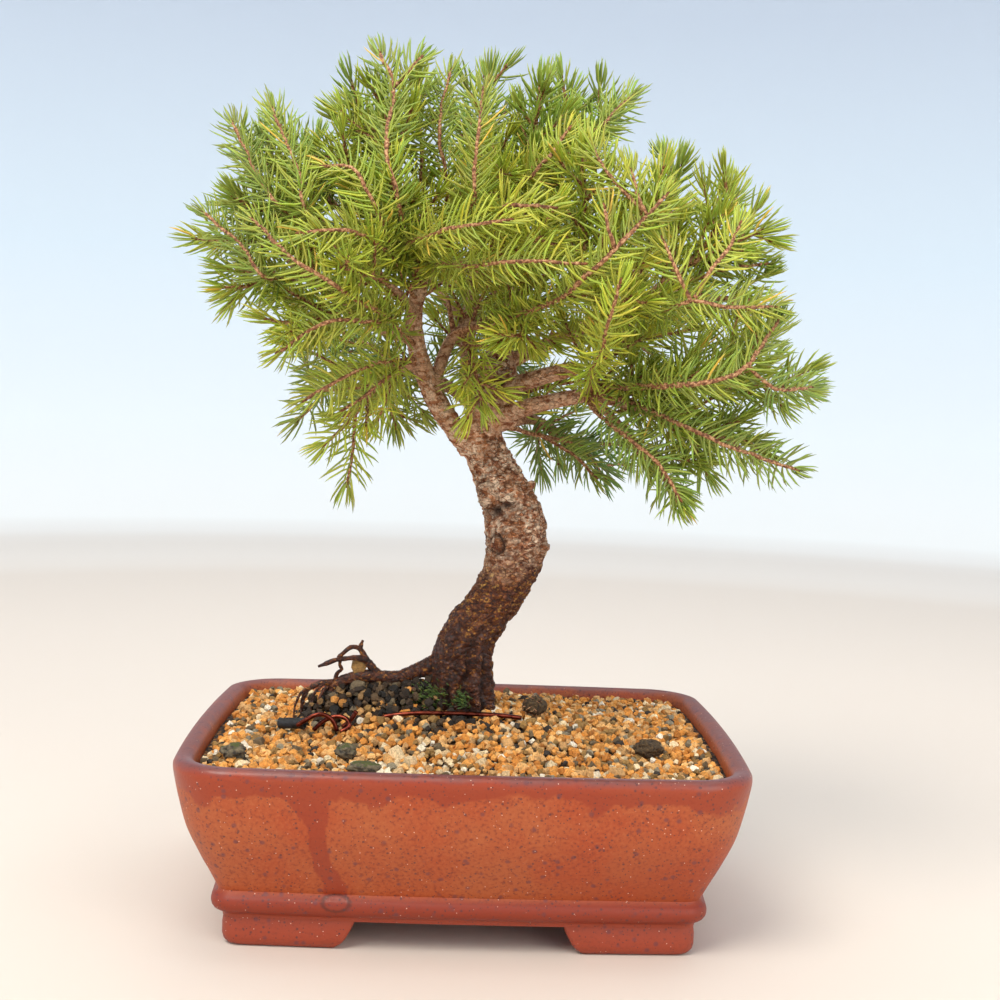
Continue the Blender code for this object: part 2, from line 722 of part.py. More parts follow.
def make_wood(parts, boughs, twigs, stand):
    """Trunk, roots, boughs and bare twigs, grown as one piece, so joined into one solid."""
    pieces = new_collection("wood_pieces")
    trunk = object_from(loft(trunk_rings()), "tree_wood", parts)
    for name, (_, radii) in BOUGHS.items():
        path = boughs[name]
        tube(name, path, np.linspace(*radii, len(path)), 1, pieces)
    for number, points in enumerate(ROOTS):
        path = smooth_path(points, ROOT_STEP)
        tube(f"root_{number}", path, path[:, 3], 1, pieces)
    for number, (start, end) in enumerate(SNAGS):
        path = np.array([start, end], float)
        tube(f"snag_{number}", path, SNAG_RADII, 0, pieces)
    for number, twig in enumerate(twigs):
        tube(f"twig_{number}", twig, np.full(len(twig), TWIG_RADIUS), 0, pieces)
    return finish_node(join_all(trunk, pieces), "wood", stand)


class Crown:
    """The rods that already stand in the crown, each a tapered stick, so that a new one keeps clear."""

    def __init__(self):
        self.rods = np.empty((0, 8))
        self.owners = []

    def add(self, start, end, first, last, owner):
        self.rods = np.vstack([self.rods, [*start, *end, first, last]])
        self.owners.append(owner)

    def add_path(self, path, first, last, owner):
        radii = np.linspace(first, last, len(path))
        for i in range(len(path) - 1):
            self.add(path[i, :3], path[i + 1, :3], radii[i], radii[i + 1], owner)

    def room(self, start, end, first, last, own):
        """The narrowest space between a new rod and every rod whose owner isn't in own."""
        others = self.rods[[owner not in own for owner in self.owners]]
        start, end = np.array(start, float), np.array(end, float)
        line = end - start
        lines = others[:, 3:6] - others[:, :3]
        apart = start - others[:, :3]
        own_length = line @ line
        lengths = (lines * lines).sum(1)
        mixed = lines @ line
        on_line = apart @ line
        on_lines = (lines * apart).sum(1)
        skew = np.maximum(own_length * lengths - mixed**2, 1e-9)
        share = np.clip((mixed * on_lines - on_line * lengths) / skew, 0, 1)
        shares = np.clip((mixed * share + on_lines) / lengths, 0, 1)
        share = np.clip((mixed * shares - on_line) / own_length, 0, 1)
        space = (start + share[:, None] * line) - (others[:, :3] + shares[:, None] * lines)
        thick = first + (last - first) * share + others[:, 6] + (others[:, 7] - others[:, 6]) * shares
        return (np.linalg.norm(space, axis=1) - thick).min()


class Spray:
    """One spray: a slim core drawn out face by face, whose side faces are raised into needles."""

    def __init__(self, number, path, first):
        self.name = f"spray_{number:02d}"
        self.bm = bmesh.new()
        self.path = path
        self.first = first
        self.whorls = []
        self.sides = 0
        self.main_rods = {("twig", self.name)}

    def place(self, share):
        point, direction = point_at(self.path, min(1.0, share))
        return Vector(point), Vector(direction)

    def draw_out(self, cap, old, new, scale, twist=0.0):
        """Extrudes the end face from its old place and direction to the new ones. Returns the side faces."""
        cap = bmesh.ops.extrude_discrete_faces(self.bm, faces=[cap])["faces"][0]
        turn = old[1].rotation_difference(new[1])
        spin = Quaternion(new[1], twist)
        for vert in cap.verts:
            vert.co = new[0] + spin @ (turn @ (vert.co - old[0])) * scale
        sides = [face for edge in cap.edges for face in edge.link_faces if face is not cap]
        for face in (cap, *sides):
            face.normal_update()
        return cap, sides

    def add_whorl(self, shoot, faces, forward, along, band):
        """Faces to raise into needles, with the stretches of their own shoot that they may touch."""
        own = {(self.name, shoot, near) for near in range(band - 1, band + 2)}
        self.whorls.append(
            {
                "shoot": shoot,
                "faces": faces,
                "forward": forward,
                "along": along,
                "own": own,
                "needles": (self.name, shoot, "needles", band),
            }
        )

    def grow_main(self, crown):
        """The main shoot: bare bands and whorls by turns, from the twig's end to the tip."""
        count = max(LEAST_WHORLS, round((1 - self.first) * (len(self.path) - 1) / WHORL_SPACING))
        radii = np.linspace(*SHOOT_RADII, 2 * count + 1)
        point, direction = self.place(self.first)
        turn = direction.to_track_quat("Z", "Y").to_matrix().to_4x4()
        bmesh.ops.create_cone(
            self.bm,
            cap_ends=True,
            segments=3,
            radius1=radii[0],
            radius2=radii[0],
            depth=FIRST_BAND,
            matrix=Matrix.Translation(point + direction * FIRST_BAND / 2) @ turn,
        )
        self.bm.faces.ensure_lookup_table()
        cap = max(self.bm.faces, key=lambda face: face.normal.dot(direction))
        old = (point + direction * FIRST_BAND, direction)
        for band in range(2 * count):
            whorl, is_whorl = divmod(band, 2)
            share = self.first + (1 - self.first) * (whorl + FIRST_WHORL) / count
            new = self.place(share + is_whorl * WHORL_WIDTH / (len(self.path) - 1))
            twist = 0.0 if is_whorl else WHORL_TURN
            cap, faces = self.draw_out(cap, old, new, radii[band + 1] / radii[band], twist)
            crown.add(old[0], new[0], radii[0], radii[0], (self.name, 0, band))
            self.main_rods.add((self.name, 0, band))
            old = new
            if is_whorl:
                self.add_whorl(0, faces, old[1], whorl / (count - 1), band)
        self.add_whorl(0, [cap], old[1], 1.0, 2 * count)

    def grow_side(self, crown, at):
        """A side shoot in place of one needle of a main whorl, on the face that has the most room."""
        whole = [one for one in self.whorls if one["shoot"] == 0 and len(one["faces"]) == 3]
        whorl = min(whole, key=lambda one: abs(one["along"] - at))
        choices = []
        for number, face in enumerate(whorl["faces"]):
            start = face.calc_center_median()
            aim = whorl["forward"] * math.cos(SIDE_ANGLE) + face.normal * math.sin(SIDE_ANGLE)
            end = start + aim * (SIDE_LENGTH + END_NEEDLE_LENGTH)
            choices.append((crown.room(start, end, SIDE_RADIUS, SIDE_RADIUS, self.main_rods), number, aim))
        room, number, aim = max(choices, key=lambda choice: choice[0])
        if room < SIDE_CLEAR:
            return
        self.sides += 1
        cap = whorl["faces"].pop(number)
        old = (cap.calc_center_median(), cap.normal.copy())
        start = old[0]
        count = round(SIDE_LENGTH / SIDE_SPACING)
        for band in range(2 * count):
            step, is_whorl = divmod(band, 2)
            distance = SIDE_FIRST + (SIDE_LENGTH - SIDE_FIRST) * step / count + is_whorl * WHORL_WIDTH
            new = (start + aim * distance, aim)
            scale = SIDE_TAPER if band else SIDE_NECK
            cap, faces = self.draw_out(cap, old, new, scale, 0.0 if is_whorl else SIDE_TURN)
            crown.add(old[0], new[0], SIDE_RADIUS, SIDE_RADIUS, (self.name, self.sides, band))
            old = new
            if is_whorl:
                along = SIDE_ALONG + (1 - SIDE_ALONG) * step / (count - 1)
                self.add_whorl(self.sides, faces, aim, along, band)
        self.add_whorl(self.sides, [cap], aim, 1.0, 2 * count)
        whorl["own"].add((self.name, self.sides, 0))

    def raise_needles(self, crown, draw):
        """Pokes each face of a whorl and pulls its middle out to a needle's tip, where there is room."""
        for whorl in self.whorls:
            forward, own = whorl["forward"], whorl["own"]
            lean = NEEDLE_LEAN[0] + (NEEDLE_LEAN[1] - NEEDLE_LEAN[0]) * whorl["along"]
            for face in whorl["faces"]:
                is_end = face.normal.dot(forward) > END_FACE
                length = END_NEEDLE_LENGTH if is_end else NEEDLE_LENGTH * draw.uniform(*NEEDLE_VARIES)
                base = face.calc_center_median()
                for turn in NEEDLE_TURNS:
                    spread = Quaternion(forward, turn) @ face.normal
                    aim = forward if is_end else spread * math.cos(lean) + forward * math.sin(lean)
                    tip = base + aim.normalized() * length
                    out = base.lerp(tip, WHORL_SHARE)
                    room = min(
                        crown.room(base, tip, NEEDLE_BASE, NEEDLE_TIP, own | {whorl["needles"]}),
                        crown.room(out, tip, NEEDLE_BASE / 2, NEEDLE_TIP, own),
                    )
                    if room > NEEDLE_CLEAR:
                        crown.add(base, tip, NEEDLE_BASE, NEEDLE_TIP, whorl["needles"])
                        middle = bmesh.ops.poke(self.bm, faces=[face])["verts"][0]
                        middle.co = tip
                        break


def make_sprays(parts, crown, paths, stand):
    draw = random.Random(SEED)
    sprays = []
    for number, (path, first) in enumerate(paths):
        spray = Spray(number + 1, path, first)
        spray.grow_main(crown)
        sprays.append(spray)
    for spray in sprays:
        for at in SIDE_SHOOTS:
            spray.grow_side(crown, at)
    for spray in sprays:
        spray.raise_needles(crown, draw)
        finish_node(object_from(spray.bm, spray.name, parts), "needles", stand)


def on_soil(points, lift):
    return [(x, y, soil_height(x, y) + lift) for x, y in points]


def make_wire(parts, ground, stand):
    for name, points in (("wire_bar", WIRE_BAR), ("wire_twist", WIRE_TWIST)):
        path = smooth_path(on_soil(points, DROP + WIRE_RADIUS), WIRE_STEP)
        wire = tube(name, path, np.full(len(path), WIRE_RADIUS), 2, parts)
        finish_node(ground.settle(wire), "wire", stand)
    path = np.array(on_soil(SLEEVE, DROP + SLEEVE_RADIUS))
    sleeve = tube("wire_sleeve", path, (SLEEVE_RADIUS, SLEEVE_RADIUS), 3, parts)
    finish_node(ground.settle(sleeve), "rubber", stand)


def make_stones(parts, ground, stand):
    for number, (name, x, y, half, turn, finish) in enumerate(STONES):
        draw = random.Random(SEED + number)
        bm = bmesh.new()
        bmesh.ops.create_icosphere(bm, subdivisions=2, radius=1.0)
        for vert in bm.verts:
            vert.co *= draw.uniform(*STONE_VARIES)
        bmesh.ops.scale(bm, verts=bm.verts, vec=half)
        bmesh.ops.rotate(bm, verts=bm.verts, matrix=Matrix.Rotation(math.radians(turn), 3, "Z"))
        bmesh.ops.translate(bm, verts=bm.verts, vec=(x, y, soil_height(x, y) + DROP + half[2]))
        finish_node(ground.settle(object_from(bm, name, parts)), finish, stand)


def centre_on_ground(parts, stand):
    """Moves the empty so that the middle of the part's outline on the ground is the origin."""
    bpy.context.view_layer.update()
    corners = [item.matrix_world @ Vector(corner) for item in parts.objects for corner in item.bound_box]
    low = Vector((min(c.x for c in corners), min(c.y for c in corners), 0))
    high = Vector((max(c.x for c in corners), max(c.y for c in corners), 0))
    stand.location = -(low + high) / 2


def main():
    clear_scene()
    parts = new_collection("spruce_bonsai")
    cutters = new_collection("cutters")
    stand = bpy.data.objects.new("bonsai_place", None)
    bpy.context.scene.collection.objects.link(stand)
    make_pot(parts, cutters, stand)
    make_screens(parts, stand)
    ground = make_soil(parts, cutters, stand)
    boughs = bough_paths()
    crown = Crown()
    for name, (_, radii) in BOUGHS.items():
        crown.add_path(boughs[name], *radii, ("bough", name))
    paths = []
    twigs = []
    for number, (bough, share, tip) in enumerate(SPRAYS):
        path = spray_path(boughs[bough], share, tip)
        first = bare_share(path)
        paths.append((path, first))
        end = first - TOUCH_GAP / (len(path) - 1)
        twig = np.array([point_at(path, end * k / TWIG_STEPS)[0] for k in range(TWIG_STEPS + 1)])
        twigs.append(twig)
        crown.add_path(twig, TWIG_RADIUS, TWIG_RADIUS, ("twig", f"spray_{number + 1:02d}"))
    make_wood(parts, boughs, twigs, stand)
    make_sprays(parts, crown, paths, stand)
    make_wire(parts, ground, stand)
    make_stones(parts, ground, stand)
    centre_on_ground(parts, stand)


main()
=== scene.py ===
"""The looks of a small spruce grown as a bonsai in a rectangular stoneware pot.

Everything is drawn in millimetres, with the middle of the pot as the origin, +X to the right,
+Y to the back, and Z 0 under the feet. Each finished mesh is taken to metres, and to the pot's
place in the frame, once, in add_piece.
"""

import math
import random

import bmesh
import bpy
import numpy as np
from mathutils import Matrix, Quaternion, Vector, noise
from mathutils.kdtree import KDTree


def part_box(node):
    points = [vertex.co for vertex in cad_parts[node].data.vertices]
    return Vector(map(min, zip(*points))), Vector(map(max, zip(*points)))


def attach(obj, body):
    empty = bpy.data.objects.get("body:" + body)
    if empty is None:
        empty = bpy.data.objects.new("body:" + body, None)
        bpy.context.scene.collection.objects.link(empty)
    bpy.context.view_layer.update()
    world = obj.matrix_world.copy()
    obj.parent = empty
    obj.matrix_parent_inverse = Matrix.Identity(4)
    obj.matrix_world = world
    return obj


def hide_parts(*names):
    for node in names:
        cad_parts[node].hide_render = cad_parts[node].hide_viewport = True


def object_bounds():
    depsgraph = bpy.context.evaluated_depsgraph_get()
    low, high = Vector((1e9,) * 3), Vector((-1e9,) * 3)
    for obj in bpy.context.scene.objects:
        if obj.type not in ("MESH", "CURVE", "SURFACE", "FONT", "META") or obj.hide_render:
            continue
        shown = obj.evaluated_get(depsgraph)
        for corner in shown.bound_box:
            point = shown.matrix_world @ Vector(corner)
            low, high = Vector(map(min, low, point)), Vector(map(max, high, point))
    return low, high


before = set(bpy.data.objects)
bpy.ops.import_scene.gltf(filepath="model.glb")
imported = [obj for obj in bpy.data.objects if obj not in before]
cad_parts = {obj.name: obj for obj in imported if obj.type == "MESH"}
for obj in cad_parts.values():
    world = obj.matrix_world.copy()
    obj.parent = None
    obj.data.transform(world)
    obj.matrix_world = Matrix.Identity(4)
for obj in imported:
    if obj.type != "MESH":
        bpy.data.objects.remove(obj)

CAD_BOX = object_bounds()

MM = 0.001
SEED = 11
GOLDEN = math.radians(137.5)

POT_LOW, POT_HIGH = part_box("pot")
POT_MIDDLE = Vector(((POT_LOW.x + POT_HIGH.x) / 2, (POT_LOW.y + POT_HIGH.y) / 2, 0.0))
PLACE = Matrix.Translation(POT_MIDDLE) @ Matrix.Scale(MM, 4)
LOWEST = np.array(PLACE.inverted() @ CAD_BOX[0])
HIGHEST = np.array(PLACE.inverted() @ CAD_BOX[1])
BOX_MARGIN = 0.4

# Camera: where it stands, and its turns in radians
EYE = (-4.26, -531.5, 182.6)
PAN = 0.0269
TILT = 0.075
ROLL = 0.0342
LENS = 54.1

# Pot
POT_LENGTH = 190.0
POT_DEPTH = 152.0
RIM_CORNER = 21.0
LEAST_CORNER = 5.0
SIDE_BOW = 1.6
CORNER_STEPS = 12
SIDE_POINTS = 12
FLOOR_HEIGHT = 17.0
FOOT_HEIGHT = 10.0
FOOT_INSET = 16.5
FOOT_THICKNESS = 14.0
FOOT_GAPS = (33.0, 22.0)
FOOT_SLANT = 5.5
FOOT_BEVEL = 1.2
FOOT_STEPS = 4
# (how far the foot is drawn in, height), from where it is sunk into the body down to the table
FOOT_PROFILE = ((0.6, 11.5), (0.3, 9.6), (0.0, 7.0), (0.0, 3.4), (0.4, 1.8), (1.2, 0.6), (2.4, 0.0))
DRAIN_RADIUS = 9.0
DRAIN_OFFSET = 40.0
DRAIN_DEPTH = 20.0
# A dried drop on the belt: its place along X and its height, and its half sizes
DROP_PLACE = (-39.6, 16.6)
DROP_HALF = (4.6, 2.7)
# (inset from the rim's outline, height): up the outside from the underside, and down the inside
OUTSIDE = (
    (16.6, 9.6), (16.5, 10.6), (15.6, 11.5), (14.1, 12.2), (13.1, 13.4), (12.8, 15.0), (13.1, 16.6),
    (14.0, 17.8), (15.0, 18.6), (14.6, 19.6), (12.0, 24.6), (9.0, 30.0), (4.6, 39.2), (2.0, 48.5),
    (0.6, 55.0), (0.0, 58.6), (0.2, 60.4), (1.1, 61.6), (2.6, 62.0), (4.4, 61.9), (5.9, 61.2), (6.7, 59.6),
)
INSIDE = ((7.4, 55.0), (11.2, 39.0), (20.5, 21.0), (24.0, FLOOR_HEIGHT))
SOIL_INSET = INSIDE[0][0]
PROFILE_STEP = 1.1

# Soil
SOIL_EDGE_HEIGHT = 58.5
MOUND_HEIGHT = 8.5
MOUND_SPREAD = 30.0
HUMUS_PLACE = (-37.0, 4.0)
HUMUS_HEIGHT = 8.5
HUMUS_SPREAD = 8.0
HUMUS_LONG = 0.7
# Where the heap's top lies along X, from the hair roots to the trunk
HUMUS_TOPS = ((-60, -55, -47, -40, -30, -20, -12, -8), (61, 70, 73.5, 75, 75.5, 76, 78, 78))
# The brown stone caught between the long root and its rootlets: half sizes and place
CAUGHT_STONE = (3.7, 2.8, 3.2)
CAUGHT_PLACE = (-38.6, 3.6, 80.8)
BED_RINGS = 16
BED_DROP = 1.3
# The bed keeps this far from the pot's inside, across and up, to the height of its edge
BED_GAP = 0.4
BED_RISE = 0.3
BED_EDGE = 54.0
# No grain lies nearer to the middle of the trunk
TRUNK_CLEARANCE = 12.6
HUMUS_CLEARANCE = 12.0
GRAIN_INSET = 7.6
GRAIN_SPACING = 2.45
GRAIN_SIZES = (1.7, 4.1)
GRAIN_SHAPES = 7
# The heap's crumbs: how many, and the line along X that they lie on
HUMUS_COUNT = 560
HUMUS_LINE = 3.0

# Trunk: (x, y, z, radius) up its middle
TRUNK_FOOT = (-1.0, 8.0)
TRUNK = (
    (-1, 8, 50, 12.8), (-1.6, 8, 66, 11.6), (-2.4, 8, 80, 10.9), (0.3, 8, 92, 10.1), (6, 8, 100.5, 9.4),
    (12.1, 8, 110, 9.5), (15.8, 8, 120.5, 10.5), (16.7, 8, 130, 11.4), (14.4, 8, 139, 10.3),
    (10, 8, 149, 8.9), (5.5, 8, 157.5, 8.0), (2.9, 8, 166, 7.2), (5, 9, 177, 7.2), (8, 10, 188, 6.8),
    (8, 12, 197, 4.6),
)

# Roots over the soil: (x, y, z, radius) along each, the thick one first
ROOTS = (
    (
        (-5, 7, 82, 6.2), (-12, 6, 81.4, 3.8), (-18, 5, 79.4, 2.8), (-25, 4, 77.2, 2.4),
        (-36, 3, 77.6, 2.4), (-43, 3, 76, 2.1), (-47.5, 3, 73, 1.9), (-48, 3, 66, 1.6), (-48, 3, 57, 1.5),
    ),
    (
        (-30, 4, 76.4, 2.1), (-32.6, 3, 79.4, 1.6), (-35.8, 2, 83.6, 1.3), (-38.2, 2, 87.4, 0.9),
        (-41.2, 1, 88.2, 0.8), (-44, 1, 86, 0.8), (-45.8, 1, 84.1, 0.8),
    ),
    ((-38.2, 2, 87.2, 0.9), (-37.8, 2, 89.1, 0.7), (-37.2, 2, 90.6, 0.4)),
    (
        (-35.6, 2, 83.6, 1.3), (-39.4, 1, 84.4, 1.0), (-43, 1, 84, 0.9), (-46.5, 0, 83.6, 0.8),
        (-49.9, 0, 82.2, 0.8), (-52.8, 0, 81, 0.5),
    ),
    (
        (-44.8, 1, 84.2, 0.7), (-45.3, 2, 81.4, 0.7), (-44.4, 2, 80, 0.6), (-46.2, 3, 78.2, 0.7),
        (-47, 3, 75.2, 0.8),
    ),
    ((-47, 3, 75, 1.3), (-52, 2, 74.6, 1.1), (-56, 1, 72.6, 0.9), (-58, 1, 69, 0.7), (-58.5, 1, 63, 0.5)),
    ((-51, 2, 74.6, 0.7), (-54, 0, 71, 0.5), (-55, -1, 66, 0.4), (-54.5, -1, 62, 0.3)),
    ((-55, 1, 73.4, 0.6), (-58.5, 0, 71.5, 0.5), (-60.5, -1, 67, 0.4), (-61, -1, 62, 0.3)),
    ((-49, 3, 74, 0.7), (-51.5, 0, 71, 0.5), (-52.5, -1, 67, 0.4), (-51.5, -2, 62, 0.3)),
)

# Boughs: points up the middle, then the first and the last radius
BOUGHS = {
    "riser": (
        ((-1, 7, 160), (-12, 2, 174), (-17, -2, 184), (-21, -6, 196), (-22, -8, 208), (-18, -8, 223)),
        (4.4, 2.7),
    ),
    "upright": (((-20, -8, 219), (-25, -12, 234), (-29, -17, 249), (-32, -20, 261)), (2.1, 1.2)),
    "left_top": (((-22, -8, 220), (-33, -10, 225), (-43, -14, 231), (-56, -18, 234)), (1.8, 1.1)),
    "front_right": (((-19, -8, 221), (-8, -17, 224), (4, -27, 225)), (1.8, 1.1)),
    "inner_right": (((-24, -11, 230), (-12, -8, 235), (2, -14, 239)), (1.4, 1.0)),
    "left_long": (
        ((-22, -7, 198), (-35, -12, 202), (-46, -16, 209), (-60, -20, 219), (-68, -16, 226)),
        (2.4, 1.2),
    ),
    "lower_left": (((-19, -4, 189), (-28, 6, 190), (-44, 14, 188), (-52, 18, 185)), (1.9, 1.1)),
    "under_left": (((-22, -3, 190), (-33, -9, 183), (-41, -15, 172)), (1.7, 1.1)),
    "leader": (
        ((3, 10, 168), (-2, 17, 186), (-3, 21, 206), (-1, 24, 228), (0, 23, 248), (0, 19, 262)),
        (3.6, 1.3),
    ),
    "cut_stub": (((8, 5, 181), (21, -9, 186), (34, -18, 190)), (3.4, 2.8)),
    "right_long": (
        ((5, 6, 171), (22, -6, 177), (39, -12, 181), (53, -17, 183), (68, -22, 185), (82, -25, 189)),
        (3.6, 1.4),
    ),
    "right_low": (((41, -13, 181), (60, -25, 175), (76, -31, 169)), (1.9, 1.1)),
    "hanging": (((40, -12, 180), (52, -18, 169), (58, -21, 162)), (1.6, 1.1)),
    "vertical": (((40, -12, 181), (42, -23, 193), (43, -33, 203)), (1.6, 1.1)),
    "long_rising": (
        ((-15, -1, 182), (-8, 1, 200), (7, -7, 206), (29, -23, 215), (42, -33, 228)),
        (2.4, 1.3),
    ),
    "back_low": (((8, 12, 168), (22, 28, 171), (36, 42, 164)), (2.4, 1.3)),
    "upper_right": (((8, 11, 192), (11, 15, 216), (13, 16, 238), (18, 13, 254)), (3.0, 1.3)),
    "right_mid": (((9, 11, 190), (28, 14, 200), (48, 7, 210), (64, -2, 219)), (2.8, 1.6)),
    "right_up": (((62, -1, 218), (72, -6, 227), (80, -9, 236)), (1.5, 1.1)),
    "right_out": (((62, -1, 218), (75, -3, 217), (86, -4, 216)), (1.5, 1.1)),
    "back_left": (((2, 12, 174), (-13, 29, 184), (-29, 44, 191), (-42, 52, 197)), (2.6, 1.3)),
    "back_up_left": (((-3, 21, 204), (-14, 36, 217), (-22, 47, 230)), (2.2, 1.2)),
    "back_up_right": (((10, 15, 212), (19, 32, 222), (27, 48, 234)), (2.0, 1.2)),
    "back_middle": (((6, 12, 184), (7, 32, 196), (4, 52, 206)), (2.4, 1.3)),
    "back_right": (((30, 14, 201), (46, 30, 203), (62, 40, 206)), (2.0, 1.2)),
    "top_back": (((-1, 24, 232), (2, 34, 248), (3, 40, 258)), (1.6, 1.1)),
    "front_left": (((-22, -8, 206), (-25, -25, 211), (-30, -38, 215)), (1.9, 1.1)),
}
BOUGH_STEP = 12.0
# Bare snapped twigs: (x, y, z, radius) at the root and at the end
SNAGS = (((-3, 21, 207, 1.2), (8, 13, 219, 0.8)), ((-8, 2, 200, 1.1), (-11, 5, 214, 0.7)))

# Each spray: the bough that it leaves, how far along, and the place of its tip
SPRAYS = (
    ("left_long", 1.00, (-98, -4, 229)),
    ("left_long", 0.75, (-90, -18, 210)),
    ("left_top", 1.00, (-88, -22, 244)),
    ("left_top", 0.80, (-84, -4, 268)),
    ("left_top", 0.50, (-70, 14, 272)),
    ("upright", 0.35, (-58, -28, 264)),
    ("upright", 0.75, (-47, -4, 282)),
    ("upright", 1.00, (-35, -26, 284)),
    ("upright", 0.90, (-17, -10, 288)),
    ("leader", 1.00, (2, 12, 301)),
    ("upper_right", 0.85, (19, -14, 292)),
    ("upper_right", 1.00, (34, 14, 295)),
    ("upper_right", 0.70, (50, 6, 288)),
    ("right_mid", 0.75, (72, 12, 272)),
    ("right_up", 1.00, (86, -8, 260)),
    ("right_up", 0.50, (101, -25, 241)),
    ("right_out", 1.00, (103, -2, 217)),
    ("right_long", 1.00, (95, -44, 206)),
    ("right_long", 0.85, (120, -22, 186)),
    ("right_low", 1.00, (100, -34, 168)),
    ("right_low", 0.70, (85, -6, 162)),
    ("hanging", 1.00, (74, -32, 144)),
    ("back_low", 1.00, (58, 58, 147)),
    ("back_low", 0.55, (25, 48, 152)),
    ("under_left", 1.00, (-53, -22, 172)),
    ("lower_left", 0.45, (-27, 26, 163)),
    ("lower_left", 1.00, (-67, 30, 184)),
    ("long_rising", 0.25, (4, -18, 170)),
    ("vertical", 1.00, (48, -68, 213)),
    ("long_rising", 0.50, (14, -52, 196)),
    ("front_right", 1.00, (22, -64, 232)),
    ("inner_right", 1.00, (4, -48, 256)),
    ("front_left", 1.00, (-48, -70, 218)),
    ("left_long", 0.45, (-66, -48, 194)),
    ("long_rising", 1.00, (58, -58, 247)),
    ("right_long", 0.60, (74, -62, 190)),
    ("long_rising", 0.85, (30, -46, 264)),
    ("upright", 0.20, (-30, -58, 248)),
    ("back_left", 1.00, (-76, 62, 214)),
    ("back_left", 0.60, (-50, 66, 174)),
    ("back_up_left", 1.00, (-46, 66, 254)),
    ("back_up_right", 1.00, (44, 68, 256)),
    ("back_middle", 1.00, (-8, 88, 222)),
    ("back_middle", 0.60, (22, 78, 186)),
    ("back_right", 1.00, (92, 50, 222)),
    ("top_back", 1.00, (0, 58, 284)),
)
